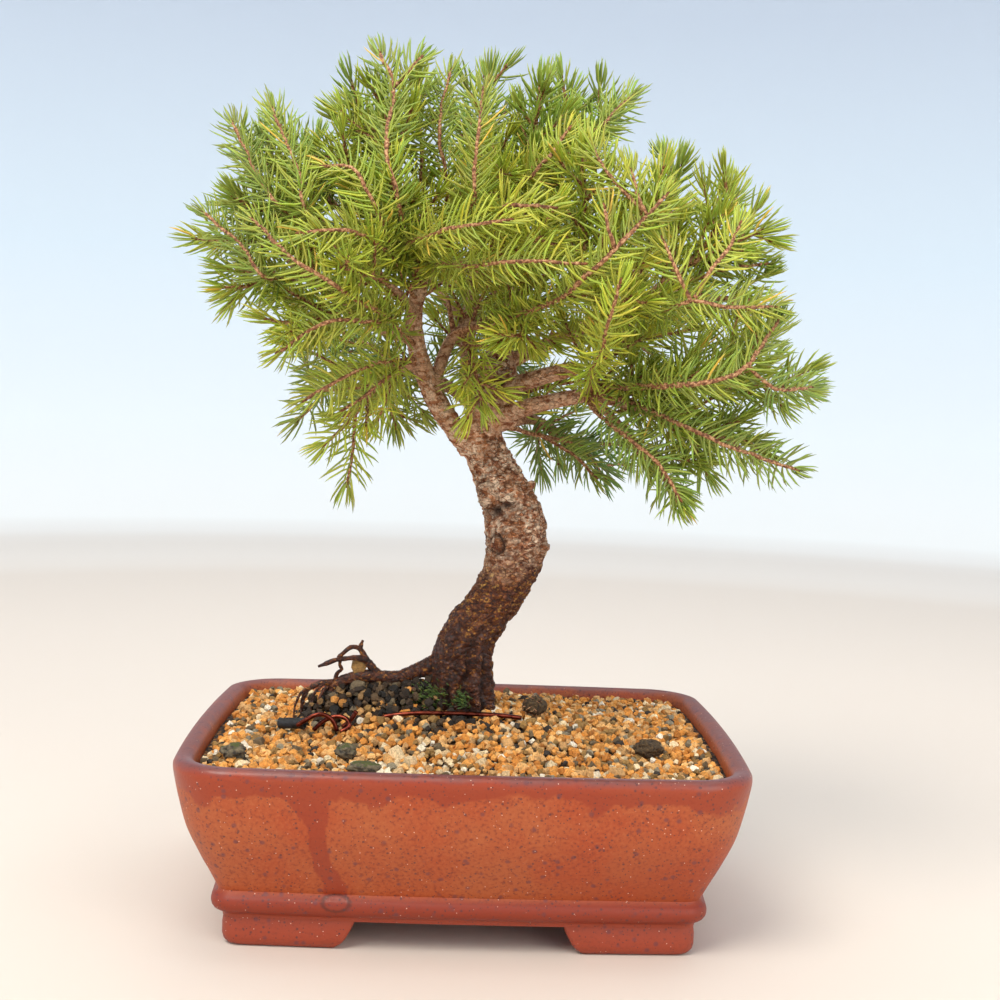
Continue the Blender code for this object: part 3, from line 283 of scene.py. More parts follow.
# Long twigs, most over the crown's front face and a few within and behind: points along each, then its
# first and last radius
FRONT_TWIGS = (
    (
        ((42, -16, 183), (51, -40, 184), (61, -58, 185), (74, -64, 187), (84, -62, 192), (95, -52, 206)),
        (1.5, 0.8),
    ),
    (
        ((43, -20, 181), (54, -38, 178), (65, -50, 173), (79, -52, 167), (92, -48, 163), (105, -42, 159)),
        (1.2, 0.7),
    ),
    (((37, -18, 180), (43, -34, 173), (52, -44, 166), (60, -46, 159), (67, -44, 149)), (1.1, 0.7)),
    (((84, -62, 192), (95, -56, 185), (108, -46, 186)), (0.8, 0.7)),
    (
        (
            (-8, -8, 201), (5, -24, 204), (15, -44, 207), (24, -60, 210), (31, -68, 216), (40, -72, 225),
            (56, -62, 243),
        ),
        (1.3, 0.8),
    ),
    (((40, -72, 226), (38, -74, 231), (37, -72, 237)), (0.8, 0.7)),
    (((40, -13, 181), (37, -42, 189), (39, -56, 194), (39, -66, 200), (42, -74, 215)), (1.0, 0.7)),
    (
        ((47, 5, 209), (54, -28, 208), (60, -56, 209), (65, -66, 211), (76, -64, 210), (94, -52, 211)),
        (0.9, 0.7),
    ),
    (((65, -66, 211), (60, -68, 220), (56, -66, 229)), (0.8, 0.7)),
    (((66, -66, 212), (71, -64, 221), (77, -60, 228), (81, -54, 236)), (0.9, 0.7)),
    (((-18, -9, 221), (-13, -40, 222), (-4, -56, 220), (10, -68, 221), (30, -70, 221)), (0.9, 0.7)),
    (((-20, -9, 222), (-24, -40, 227), (-16, -58, 229), (-8, -66, 231), (7, -70, 233)), (0.9, 0.7)),
    (((3, -26, 225), (6, -62, 237), (12, -68, 238), (21, -66, 238)), (0.8, 0.7)),
    (((-9, -9, 236), (-3, -56, 239), (-3, -62, 249), (-2, -58, 261), (-1, -46, 276)), (0.9, 0.7)),
    (
        (
            (-19, -8, 221), (-23, -16, 223), (-25, -40, 231), (-27, -54, 242), (-31, -52, 256),
            (-30, -36, 278), (-35, -28, 290),
        ),
        (1.1, 0.8),
    ),
    (((-30, -36, 278), (-26, -34, 283), (-22, -30, 289)), (0.8, 0.7)),
    (
        (
            (-21, -8, 212), (-24, -24, 215), (-32, -54, 234), (-36, -58, 242), (-41, -56, 249),
            (-50, -50, 250),
        ),
        (0.9, 0.7),
    ),
    (((-21, -9, 219), (-28, -40, 223), (-36, -60, 228), (-45, -66, 229), (-55, -64, 228)), (0.9, 0.7)),
    (
        (
            (-21, -6, 196), (-24, -16, 198), (-30, -40, 204), (-40, -58, 209), (-48, -64, 214),
            (-58, -62, 220), (-73, -48, 233),
        ),
        (1.2, 0.7),
    ),
    (((-60, -20, 219), (-69, -46, 215), (-77, -40, 225), (-91, -28, 236)), (0.8, 0.7)),
    (((-55, -18, 234), (-56, -54, 237), (-59, -46, 249), (-70, -28, 271)), (0.8, 0.7)),
    (((-56, -18, 234), (-65, -46, 238), (-72, -38, 247), (-84, -20, 267)), (0.8, 0.7)),
    (((-19, -5, 190), (-23, -10, 191), (-33, -30, 189), (-45, -40, 183), (-55, -38, 177)), (0.9, 0.7)),
    (((-19, -5, 189), (-22, -10, 191), (-29, -26, 185), (-37, -30, 178), (-43, -28, 174)), (0.8, 0.7)),
    (((-24, -20, 209), (-29, -38, 203), (-35, -48, 202), (-48, -54, 201), (-63, -46, 192)), (0.9, 0.7)),
    (((14, 15, 245), (14, -8, 250), (13, -30, 251), (16, -42, 251), (27, -38, 266)), (1.0, 0.7)),
    (((50, -66, 237), (40, -60, 248), (36, -56, 254), (34, -48, 261)), (0.8, 0.7)),
    (((50, -68, 237), (48, -66, 241), (46, -58, 251)), (0.8, 0.7)),
    (((18, 14, 252), (28, -8, 262), (38, -30, 269), (43, -26, 275), (49, -20, 281)), (0.9, 0.7)),
    (((-12, -9, 235), (-12, -24, 250), (-15, -28, 264), (-14, -20, 278), (-12, -14, 288)), (0.9, 0.7)),
    (((40, -12, 181), (44, -10, 196), (58, -14, 201), (72, -16, 204)), (0.9, 0.7)),
    (((63, -1, 218), (74, -6, 222), (86, -10, 226), (97, -12, 228)), (0.9, 0.7)),
    (((8, 12, 182), (16, 22, 180), (28, 26, 184), (40, 24, 186)), (0.9, 0.7)),
    (((-24, -12, 232), (-22, -6, 248), (-21, -8, 262), (-23, -6, 274)), (0.9, 0.7)),
    (((12, 14, 168), (26, 22, 165), (40, 28, 162)), (1.1, 0.7)),
    (((24, 20, 166), (36, 14, 159), (44, 10, 152)), (0.9, 0.7)),
)
TWIG_SLIMNESS = 0.8
# How squarely forward a needle of these twigs may point, and how much closer together they stand
FACE_LIMIT = -0.75
FACE_CLOSENESS = 1.5
# The bare start of these twigs: a share of the length, and the most in millimetres
BARE_SHARE = 0.3
MOST_BARE = 15.0
END_FOLLOW = 0.4
SIDE_FOLLOW = 0.15
SHOOT_LENGTH = 38.0
MOST_SHOOT = 0.85
CURVE_STEPS = 12

# Bark
VOXEL = 0.62
BARK_STEP = 2.0
TRUNK_SIDES = 32
FLAKE = (2.5, 1.35)
FLAKE_WANDER = 1.1
FLAKE_RISE = 0.5
CRACK_DEPTH = 0.45
FOOT_RIDGES = 10
RIDGE_PHASE = math.radians(95)
RIDGE_DEPTH = 1.9
KNOT = (9.4, 0.4, 126.8)
KNOT_RADIUS = 3.3
# Hollows in the bark: place, how far they spread, and depth
HOLLOWS = (
    ((8.0, 0.0, 138.4), (4.0, 4.0, 2.3), 2.6),
    ((12.5, -1.6, 141.0), (3.2, 3.0, 1.3), 1.2),
    ((8.0, 2.0, 185.0), (2.2, 4.0, 3.0), 2.0),
)
# Swellings that the trunk has grown: place and radius
BURLS = (
    ((3, 1, 176), 4.2),
    ((11, 3, 181), 4.4),
    ((4, 2, 190), 4.0),
    ((12, 8, 172), 4.4),
    ((0, 5, 168), 4.6),
    ((14, 10, 184), 3.6),
    ((3, 15, 180), 4.4),
    ((10, 16, 172), 4.0),
    ((5.2, 2, 146), 4.4),
    ((5.6, 0, 142), 3.6),
    ((21, 3, 148), 1.8),
    ((27.3, 3, 126), 1.7),
)

# Shoots and needles
NEEDLE_LENGTH = 13.0
NEEDLE_WIDTH = 0.84
NEEDLE_THICKNESS = 0.66
NEEDLE_BEND = 3.6
# A needle's rings before its point: (height, width), in shares of its own
NEEDLE_RINGS = ((0.0, 0.55), (0.3, 1.0), (0.78, 0.8))
# Needles that close round a shoot's tip, and the share of dry ones
TIP_NEEDLES = 6
DRY_SHARE = 0.012
NEEDLES_PER_MM = 1.7
LEAN_BASE = math.radians(68.0)
LEAN_TIP = math.radians(30.0)
TIP_REACH = 9.0
TRIM = 8
BOUGH_SPACING = 5.0
BOUGH_SHOOTS = (14.0, 25.0)
# The middle of the crown stays open in front of the trunk's head: its place and reach
OPEN_PLACE = (4.0, -22.0, 184.0)
OPEN_REACH = (30.0, 34.0, 22.0)
SIDE_SPACING = 4.6
SIDE_LENGTHS = (21.0, 10.0)
SIDE_ANGLE = math.radians(50.0)
SHOOT_RADIUS = 1.0
SIDE_RADIUS = 0.74
# A shoot's radius at its tip, as a share of its radius at the foot
TIP_SHARE = 0.62
SPRAY_TWIG = (1.15, 0.9)
# The crown, for how far out a leaf is and so how much painted shade its needles get: its middle, its shape
# as shares, and its reach
CROWN_MIDDLE = (5.0, -20.0, 215.0)
CROWN_SHAPE = (1.15, 1.0, 0.85)
CROWN_REACH = 105.0
# Width and length of a bud
BUD = (1.5, 2.4)
FRONT_BUD = (1.4, 2.6)
# Directions that shoots and hairs don't follow, to turn their sides from
SHOOT_ACROSS = (0.31, 0.83, 0.46)
HAIR_ACROSS = (0.2, 0.9, 0.4)
TWIG_SLOT = 1
BUD_SLOT = 2
# Cushions of moss at the trunk's foot: place, spread and number of leaves
MOSS = (((-11.5, -1.5, 71), 2.6, 150), ((-1, -4.6, 71), 1.6, 80), ((-17, 1, 69), 2.4, 90))
MOSS_COLOURS = (("#4E6B2C", 2), ("#6F8436", 1))

# Loose things on the soil
WIRE_RADIUS = 0.8
# How far the bar's ends have worked in among the grains
WIRE_SUNK = 1.6
WIRE_BAR = (
    (-29, -9, -2.0), (-24, -9.6, -0.9), (-16, -10, 0), (-6, -10, 0.2), (4, -9.4, 0), (13, -8, -0.5),
    (20, -6, -1.6),
)
# Three strands of a cut end of wire, bent over each other beside the sleeve
WIRE_LOOPS = (
    (
        (-58, -17.6, 63.6), (-54.1, -18, 66.2), (-51.3, -18, 67.6), (-48.5, -17.8, 67.6),
        (-45.7, -17.6, 65.6), (-44, -17.5, 62),
    ),
    (
        (-52.4, -15.5, 61.6), (-49.7, -15.6, 64.4), (-46.7, -15.8, 66.2), (-43.6, -16, 66.8),
        (-40.8, -17, 66), (-39.9, -18.2, 63.8), (-43, -19, 62),
    ),
    ((-42.6, -14.5, 62.6), (-39.6, -14.2, 65.4), (-37.8, -14, 68.4)),
)

# The sleeve's two ends: place in plan, and height over the middle of its solid
SLEEVE_ENDS = (((-64.5, -13), 1.0), ((-55.5, -16), 1.8))
SLEEVE_RADIUS = 1.95
SLEEVE_WALL = 0.6
SLEEVE_STEPS = 6
FIBRE_COUNT = 46
FIBRE_COLOUR = "#5B452C"
FIBRE_LENGTHS = (1.0, 2.6)
FIBRE_WIDTH = 0.35
LEAF_LENGTHS = (0.9, 2.0)
LEAF_WIDTH = 0.5

# Needle greens: a lit yellow-green and a deeper shaded green, painted light and painted shade by a spray's
# place in the crown, the middle green between them, and dry needles
LEAF_COLOURS = {"painted_light": "#CFCF46", "full": "#A8B23E", "painted_shade": "#779648", "dry": "#DDB84A"}
GRAIN_COLOURS = (
    ("#DF9B4C", 22), ("#D48A3A", 15), ("#EBB570", 13), ("#D0A066", 14), ("#BA7732", 9), ("#94713E", 9),
    ("#EBD3A8", 6), ("#EFE3CC", 2), ("#8C816A", 4), ("#6B5A42", 6), ("#3A322B", 3),
)
PALE_COLOURS = (("#EADBBE", 2), ("#E3C79A", 2), ("#D9B888", 1))
HUMUS_STONES = (("#8A6A42", 3), ("#A8824E", 2), ("#6E604A", 3), ("#C98A44", 2))
HUMUS_COLOURS = (("#2C2219", 5), ("#3B2C1E", 4), ("#1C1712", 4), ("#5A4630", 2))

# The backdrop: (distance from the middle, height) up its bowl, and its colours at shares of its top
BOWL = ((0, 0), (900, 0), (1500, 40), (2000, 320), (2240, 900), (2300, 1800), (2300, 3000))
BACKDROP_TOP = 1000.0
BACKDROP = (
    (0.0, "#DACFC3"), (0.002, "#EAE5DE"), (0.012, "#F6F6F2"), (0.12, "#F4F9FA"), (0.4, "#E2EEF6"),
    (0.85, "#CFD9E6"),
)
# Broad soft lamps: place, side, power in watts and colour, each aimed at the crown
LAMPS = {
    "key": ((-700, -900, 1500), 900, 27.0, "#FFF8EE"),
    "fill": ((900, -1100, 700), 1000, 9.0, "#FFF9F2"),
    "top": ((100, 300, 1900), 1400, 18.0, "#FFFFFF"),
}
LAMP_TARGET = Vector((0, 0, 170))
ROOM_COLOUR = "#E9F1FA"
ROOM_STRENGTH = 0.5


# Small helpers

def linear(colour):
    """An sRGB hex colour as the linear red, green, blue and alpha of a shader."""
    values = [int(colour[start : start + 2], 16) / 255 for start in (1, 3, 5)]
    return (*[v / 12.92 if v <= 0.04045 else ((v + 0.055) / 1.055) ** 2.4 for v in values], 1.0)


def unit(vectors):
    return vectors / np.linalg.norm(vectors, axis=-1, keepdims=True)


def fade(values, start, end):
    """0 before start, 1 after end, and smooth in between."""
    share = np.clip((np.asarray(values, float) - start) / (end - start), 0, 1)
    return share * share * (3 - 2 * share)


def mesh_from(bm, name="draft"):
    mesh = bpy.data.meshes.new(name)
    bm.to_mesh(mesh)
    bm.free()
    return mesh


def linked(name, data):
    """A new object in the scene that holds some data."""
    item = bpy.data.objects.new(name, data)
    bpy.context.scene.collection.objects.link(item)
    return item


def mesh_of(item):
    """The mesh that an object's modifiers or bevel make. The object itself is removed."""
    graph = bpy.context.evaluated_depsgraph_get()
    mesh = bpy.data.meshes.new_from_object(item.evaluated_get(graph))
    bpy.data.objects.remove(item)
    return mesh


def evaluated(mesh, kind, **settings):
    """The mesh that one modifier with these settings makes of a mesh."""
    draft = linked("draft", mesh)
    modifier = draft.modifiers.new("draft", kind)
    for name, value in settings.items():
        setattr(modifier, name, value)
    return mesh_of(draft)


def add_piece(mesh, name, finishes, stands_for=(), sharp=None):
    """Takes a mesh drawn in millimetres to its place, as one finished piece of the part."""
    mesh.transform(PLACE)
    mesh.name = name
    for finish in finishes:
        mesh.materials.append(finish)
    mesh.shade_smooth()
    if sharp:
        mesh.set_sharp_from_angle(angle=math.radians(sharp))
    piece = linked(name, mesh)
    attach(piece, "root")
    if stands_for:
        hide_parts(*stands_for)


def between(a, b, c, d, share):
    """The place a share of the way from b to c, on the smooth curve through a, b, c and d."""
    bend = 2 * a - 5 * b + 4 * c - d
    twist = 3 * b - a - 3 * c + d
    return 0.5 * (2 * b + (c - a) * share + bend * share**2 + twist * share**3)


def smooth_path(points, step, across=3):
    """Evenly spaced places along a smooth curve through the points, with any radius blended too."""
    keys = np.array(points, float)
    keys = np.vstack([2 * keys[0] - keys[1], keys, 2 * keys[-1] - keys[-2]])
    fine = []
    for a, b, c, d in zip(keys, keys[1:], keys[2:], keys[3:]):
        for share in np.linspace(0, 1, CURVE_STEPS, endpoint=False):
            fine.append(between(a, b, c, d, share))
    fine.append(keys[-2])
    fine = np.array(fine)
    lengths = np.linalg.norm(np.diff(fine[:, :across], axis=0), axis=1)
    along = np.concatenate([[0], np.cumsum(lengths)])
    stations = np.linspace(0, along[-1], max(2, round(along[-1] / step) + 1))
    return np.stack([np.interp(stations, along, fine[:, k]) for k in range(fine.shape[1])], axis=1)


def point_at(path, share):
    """The place and the direction a share of the way along a path of evenly spaced points."""
    place = share * (len(path) - 1)
    i = min(int(place), len(path) - 2)
    step = path[i + 1, :3] - path[i, :3]
    return path[i, :3] + step * (place - i), step / np.linalg.norm(step)


def with_radii(path, first, last):
    """A path with a radius at each point that runs evenly from the first to the last."""
    return np.column_stack([path[:, :3], np.linspace(first, last, len(path))])


def tubes(lines, sides_step):
    """One mesh of capped tubes along lines of points, each point with its radius as its fourth number."""
    curve = bpy.data.curves.new("draft", "CURVE")
    curve.dimensions = "3D"
    curve.bevel_depth = 1.0
    curve.bevel_resolution = sides_step
    curve.use_fill_caps = True
    for line in lines:
        spline = curve.splines.new("POLY")
        spline.points.add(len(line) - 1)
        for point, (x, y, z, radius) in zip(spline.points, line):
            point.co = (x, y, z, 1.0)
            point.radius = radius
    bm = bmesh.new()
    bm.from_mesh(mesh_of(linked("draft", curve)))
    bmesh.ops.remove_doubles(bm, verts=bm.verts, dist=0.0001)
    bmesh.ops.recalc_face_normals(bm, faces=bm.faces)
    return bm


def ring_body(rings):
    """A closed body drawn out ring by ring from a flat face, every ring with the same number of points."""
    bm = bmesh.new()
    bmesh.ops.create_circle(bm, cap_ends=True, segments=len(rings[0]), radius=1.0)
    cap = bm.faces[:][0]
    for number, ring in enumerate(rings):
        if number:
            cap = bmesh.ops.extrude_discrete_faces(bm, faces=[cap])["faces"][0]
        for vert, place in zip(cap.verts, ring):
            vert.co = place
    rim = [edge for edge in bm.edges if edge.is_boundary]
    bmesh.ops.holes_fill(bm, edges=rim, sides=0)
    bmesh.ops.recalc_face_normals(bm, faces=bm.faces)
    return bm


def template_of(bm):
    """A mesh's points, its faces' corners and their counts, and each point's height from 0 to 1."""
    bm.verts.index_update()
    points = np.array([vert.co[:] for vert in bm.verts])
    corners = np.array([vert.index for face in bm.faces for vert in face.verts])
    sizes = np.array([len(face.verts) for face in bm.faces])
    bm.free()
    return points, corners, sizes, np.clip(points[:, 2], 0, 1)


class Gather:
    """One mesh of many placed copies of small shapes, with a colour at each point."""

    def __init__(self):
        self.points = []
        self.corners = []
        self.sizes = []
        self.tints = []
        self.slots = []
        self.total = 0

    def stamp(self, template, places, tints, slot=0):
        """Copies a shape to each place, three axes and an origin, in the colour given for each."""
        base, corners, sizes, marks = template
        count = len(places)
        moved = np.einsum("nij,mj->nmi", places[:, :, :3], base) + places[:, None, :, 3]
        starts = self.total + np.arange(count) * len(base)
        shades = np.empty((count, len(base), 4))
        shades[:, :, :3] = np.asarray(tints)[:, None, :3]
        shades[:, :, 3] = marks
        self.points.append(moved.reshape(-1, 3))
        self.corners.append((corners[None, :] + starts[:, None]).ravel())
        self.sizes.append(np.tile(sizes, count))
        self.tints.append(shades.reshape(-1, 4))
        self.slots.append(np.full(count * len(sizes), slot))
        self.total += count * len(base)

    def add(self, bm, tint=(1, 1, 1), slot=0):
        """Adds a mesh as it stands."""
        self.stamp(template_of(bm), np.eye(3, 4)[None], [tint], slot)

    def mesh(self):
        mesh = bpy.data.meshes.new("draft")
        corners = np.concatenate(self.corners).astype(np.int32)
        sizes = np.concatenate(self.sizes)
        mesh.vertices.add(self.total)
        mesh.vertices.foreach_set("co", np.concatenate(self.points).astype(np.float32).ravel())
        mesh.loops.add(len(corners))
        mesh.loops.foreach_set("vertex_index", corners)
        mesh.polygons.add(len(sizes))
        starts = np.concatenate([[0], np.cumsum(sizes)[:-1]]).astype(np.int32)
        mesh.polygons.foreach_set("loop_start", starts)
        mesh.polygons.foreach_set("material_index", np.concatenate(self.slots).astype(np.int32))
        mesh.update(calc_edges=True)
        tint = mesh.color_attributes.new("tint", "FLOAT_COLOR", "POINT")
        tint.data.foreach_set("color", np.concatenate(self.tints).astype(np.float32).ravel())
        return mesh


def random_turns(draw, count):
    """Rotation matrices that point every way alike."""
    w, x, y, z = unit(draw.normal(size=(count, 4))).T
    rows = (
        (1 - 2 * (y * y + z * z), 2 * (x * y - z * w), 2 * (x * z + y * w)),
        (2 * (x * y + z * w), 1 - 2 * (x * x + z * z), 2 * (y * z - x * w)),
        (2 * (x * z - y * w), 2 * (y * z + x * w), 1 - 2 * (x * x + y * y)),
    )
    return np.moveaxis(np.array(rows), 2, 0)


def mixed_colours(draw, count, choices, spread):
    """A colour for each of count things, drawn from weighted hex colours and then varied in strength."""
    weights = np.array([weight for _, weight in choices], float)
    colours = np.array([linear(colour)[:3] for colour, _ in choices])
    picked = colours[draw.choice(len(choices), count, p=weights / weights.sum())]
    return picked * draw.uniform(1 - spread, 1 + spread, count)[:, None]


# Materials

def new_finish(name):
    finish = bpy.data.materials.new(name)
    finish.use_nodes = True
    finish.node_tree.nodes.clear()
    return finish


def add(finish, kind, inputs=None, stops=(), **settings):
    """Adds a node with its settings, a ramp's stops, and its inputs: values, hex colours or sockets."""
    node = finish.node_tree.nodes.new("ShaderNode" + kind)
    for name, value in settings.items():
        setattr(node, name, value)
    if stops:
        band = node.color_ramp.elements
        for element, (place, colour) in zip(band, (stops[0], stops[-1])):
            element.position = place
            element.color = linear(colour)
        for place, colour in stops[1:-1]:
            band.new(place).color = linear(colour)
    for key, value in (inputs or {}).items():
        if isinstance(value, bpy.types.NodeSocket):
            finish.node_tree.links.new(value, node.inputs[key])
        else:
            node.inputs[key].default_value = linear(value) if isinstance(value, str) else value
    return node


def pot_place(finish):
    """The place on the object in millimetres from the middle of the pot, as a socket."""
    place = add(finish, "TexCoord").outputs["Object"]
    middle = {"Vector": place, "Location": -POT_MIDDLE / MM, "Scale": (1 / MM,) * 3}
    return add(finish, "Mapping", middle).outputs[0]


def laid(finish, under, over, value, start, end, strength=1.0):
    """The socket of a colour with another laid over it, from none where a value is at its start to the
    full strength where it is at its end."""
    limits = {"Value": value, "From Min": start, "From Max": end, "To Max": strength}
    share = add(finish, "MapRange", limits).outputs[0]
    return add(finish, "Mix", {0: share, 6: under, 7: over}, data_type="RGBA").outputs[2]


def summed(finish, *terms):
    """The socket of several values added up, each times its share."""
    total = 0.0
    for share, value in terms:
        total = add(finish, "Math", {0: value, 1: share, 2: total}, operation="MULTIPLY_ADD").outputs[0]
    return total


def specked(finish, under, over, place, cell, radius, share, strength):
    """The socket of a colour with round specks of another, in some of the cells of a size in millimetres."""
    specks = add(finish, "TexVoronoi", {"Vector": place, "Scale": 1 / cell}).outputs
    pick = add(finish, "SeparateColor", {0: specks["Color"]}).outputs[0]
    chosen = add(finish, "Math", {0: pick, 1: share}, operation="LESS_THAN").outputs[0]
    edges = 1.3 * radius / cell, 0.6 * radius / cell
    return laid(finish, under, over, specks["Distance"], *edges, summed(finish, (strength, chosen)))


def flakes(finish, place, size, flatness, strength):
    """Sockets of the broken edges of thin flakes wider than they are high, and of each flake's own value."""
    wobble = add(finish, "TexNoise", {"Vector": place, "Scale": 1 / size, "Detail": 3.0}).outputs["Color"]
    bent = {0: wobble, 1: (0.9 * size,) * 3, 2: place}
    bent = add(finish, "VectorMath", bent, operation="MULTIPLY_ADD").outputs[0]
    squeezed = add(finish, "Mapping", {"Vector": bent, "Scale": (1, 1, flatness)}).outputs[0]
    cells = {"Vector": squeezed, "Scale": 1 / size}
    edge = add(finish, "TexVoronoi", cells, feature="DISTANCE_TO_EDGE").outputs["Distance"]
    pick = add(finish, "SeparateColor", {0: add(finish, "TexVoronoi", cells).outputs["Color"]}).outputs[0]
    patches = add(finish, "TexNoise", {"Vector": place, "Scale": 1 / (1.6 * size), "Detail": 2.0}).outputs[0]
    broken = {"Value": patches, "From Min": 0.4, "From Max": 0.56, "To Max": strength}
    broken = add(finish, "MapRange", broken).outputs[0]
    crack = {"Value": edge, "From Min": 0.13, "From Max": 0.02, "To Max": broken}
    return add(finish, "MapRange", crack).outputs[0], pick


def surface(finish, **inputs):
    """The finish's shader, with the sockets and values given by its inputs' names, and its output."""
    named = {name.replace("_", " "): value for name, value in inputs.items()}
    shader = add(finish, "BsdfPrincipled", named)
    add(finish, "OutputMaterial", {"Surface": shader.outputs[0]})
    return finish


def stoneware():
    """Unglazed red stoneware, pressed and burnished: a satin skin with iron and grit specks.
    A wet band under the rim and the run below it look deeper and glossier."""
    finish = new_finish("red_stoneware")
    place = pot_place(finish)
    across, depth, height = add(finish, "SeparateXYZ", {0: place}).outputs
    broad, fine, waves, wear = (
        add(finish, "TexNoise", {"Vector": place, "Scale": 1 / size, "Detail": detail}).outputs[0]
        for size, detail in ((26.0, 3.0), (1.1, 5.0), (13.0, 5.0), (8.0, 4.0))
    )
    wall = laid(finish, "#A64418", "#AA5529", broad, 0.36, 0.62)
    wall = laid(finish, wall, "#B8663C", fine, 0.52, 0.72, 0.4)
    wall = laid(finish, wall, "#842E14", fine, 0.46, 0.3, 0.45)
    right = add(finish, "MapRange", {"Value": across, "From Max": 80.0, "To Max": 0.7}).outputs[0]
    wall = laid(finish, wall, "#96360F", height, 45.0, 22.0, right)
    # The belt fired deeper, and the feet pinker
    wall = laid(finish, wall, "#862A0A", height, 19.5, 17.5)
    wall = laid(finish, wall, "#983B20", height, 12.0, 10.5)
    wall = laid(finish, wall, "#6E2A1C", fine, 0.46, 0.34, 0.35)
    # Damp from the last watering, on the front alone: a wavy band below the lip, and one run to the belt
    front = add(finish, "MapRange", {"Value": depth, "From Min": -50.0, "From Max": -60.0}).outputs[0]
    band = summed(finish, (24.0, waves), (1.0, height))
    damp = {"Value": band, "From Min": 64.5, "From Max": 66.0, "To Max": front}
    damp = add(finish, "MapRange", damp).outputs[0]
    middle = {"Value": height, "From Min": 22.0, "From Max": 58.0, "To Min": -37.0, "To Max": -46.0}
    middle = add(finish, "MapRange", middle).outputs[0]
    width = {"Value": height, "From Min": 44.0, "From Max": 58.0, "To Min": 3.3, "To Max": 8.0}
    width = add(finish, "MapRange", width).outputs[0]
    offset = summed(finish, (7.0, waves), (1.0, across), (-1.0, middle))
    offset = add(finish, "Math", {0: offset}, operation="ABSOLUTE").outputs[0]
    above_belt = {"Value": height, "From Min": 17.5, "From Max": 18.5, "To Max": front}
    above_belt = add(finish, "MapRange", above_belt).outputs[0]
    within = summed(finish, (1.0, width), (-1.0, offset))
    run = {"Value": within, "From Min": -0.3, "From Max": 0.5, "To Max": above_belt}
    run = add(finish, "MapRange", run).outputs[0]
    # A dried drop on the belt, with a darker edge
    around = {
        "Vector": place,
        "Location": (-DROP_PLACE[0] / DROP_HALF[0], 0.0, -DROP_PLACE[1] / DROP_HALF[1]),
        "Scale": (1 / DROP_HALF[0], 0.0, 1 / DROP_HALF[1]),
    }
    around = add(finish, "Mapping", around).outputs[0]
    from_drop = add(finish, "VectorMath", {0: around}, operation="LENGTH").outputs["Value"]
    drop = {"Value": from_drop, "From Min": 1.0, "From Max": 0.9, "To Max": front}
    drop = add(finish, "MapRange", drop).outputs[0]
    edge = summed(finish, (0.3, fine), (1.0, from_drop), (-1.07, 1.0))
    edge = add(finish, "Math", {0: edge}, operation="ABSOLUTE").outputs[0]
    wet = add(finish, "Math", {0: damp, 1: run}, operation="MAXIMUM").outputs[0]
    wet = add(finish, "Math", {0: wet, 1: drop}, operation="MAXIMUM").outputs[0]
    wall = laid(finish, wall, "#8F2D0C", wet, 0.0, 1.0, 0.8)
    wall = laid(finish, wall, "#7C2810", drop, 0.0, 1.0, 0.5)
    wall = laid(finish, wall, "#4C180B", edge, 0.24, 0.04, summed(finish, (0.75, front)))
    # The lip is worn to mauve grey, most at the corners
    wall = laid(finish, wall, "#6F423F", summed(finish, (4.0, wear), (1.0, height)), 61.6, 63.8, 0.85)
    # Iron specks and smudges, and pale grit: cell, radius, share of the cells, strength
    for cell, radius, share, strength, colour in (
        (4.2, 0.85, 0.6, 0.6, "#5A303A"),
        (2.2, 0.42, 0.6, 0.7, "#45262E"),
        (1.2, 0.22, 0.6, 0.8, "#38202A"),
        (1.9, 0.16, 0.5, 0.85, "#F0D2BC"),
    ):
        wall = specked(finish, wall, colour, place, cell, radius, share, strength)
    rough = add(finish, "MapRange", {"Value": wet, "To Min": 0.44, "To Max": 0.3}).outputs[0]
    rough = summed(finish, (0.16, fine), (1.0, rough))
    bump = add(finish, "Bump", {"Height": fine, "Strength": 0.3, "Distance": 0.25 * MM}).outputs[0]
    return surface(finish, Base_Color=wall, Roughness=rough, Normal=bump)


def fired_clay():
    """Baked clay, pumice and lava grains: dry, porous and matt, each with its own colour."""
    finish = new_finish("fired_clay_grains")
    place = pot_place(finish)
    tint = add(finish, "Attribute", attribute_name="tint").outputs["Color"]
    fine = add(finish, "TexNoise", {"Vector": place, "Scale": 1 / 0.7, "Detail": 4.0}).outputs[0]
    shade = {"Value": fine, "From Min": 0.3, "From Max": 0.7, "To Min": 0.6, "To Max": 1.25}
    shade = add(finish, "MapRange", shade).outputs[0]
    colour = {0: 1.0, 6: tint, 7: shade}
    colour = add(finish, "Mix", colour, data_type="RGBA", blend_type="MULTIPLY").outputs[2]
    bump = add(finish, "Bump", {"Height": fine, "Strength": 0.8, "Distance": 0.4 * MM}).outputs[0]
    return surface(finish, Base_Color=colour, Roughness=0.9, Normal=bump)


def soil_crumb():
    """The finer soil between the grains: brown crumbs with clay dust, and painted shade, near black, in the
    gaps between them.
    """
    finish = new_finish("soil_crumb")
    place = pot_place(finish)
    cells = add(finish, "TexVoronoi", {"Vector": place, "Scale": 1 / 2.2}).outputs
    pick = add(finish, "SeparateColor", {0: cells["Color"]}).outputs[0]
    stops = ((0.0, "#3B2A1C"), (0.35, "#6F4A28"), (0.6, "#A06A34"), (0.85, "#B98A55"))
    colour = add(finish, "ValToRGB", {0: pick}, stops=stops).outputs[0]
    crumb = {"Value": cells["Distance"], "From Min": 0.65, "From Max": 0.2}
    crumb = add(finish, "MapRange", crumb).outputs[0]
    # Painted shade: the gaps between the crumbs are near black
    colour = laid(finish, "#24190F", colour, crumb, 0.0, 1.0)
    bump = add(finish, "Bump", {"Height": crumb, "Strength": 1.0, "Distance": 0.8 * MM}).outputs[0]
    return surface(finish, Base_Color=colour, Roughness=0.95, Normal=bump)


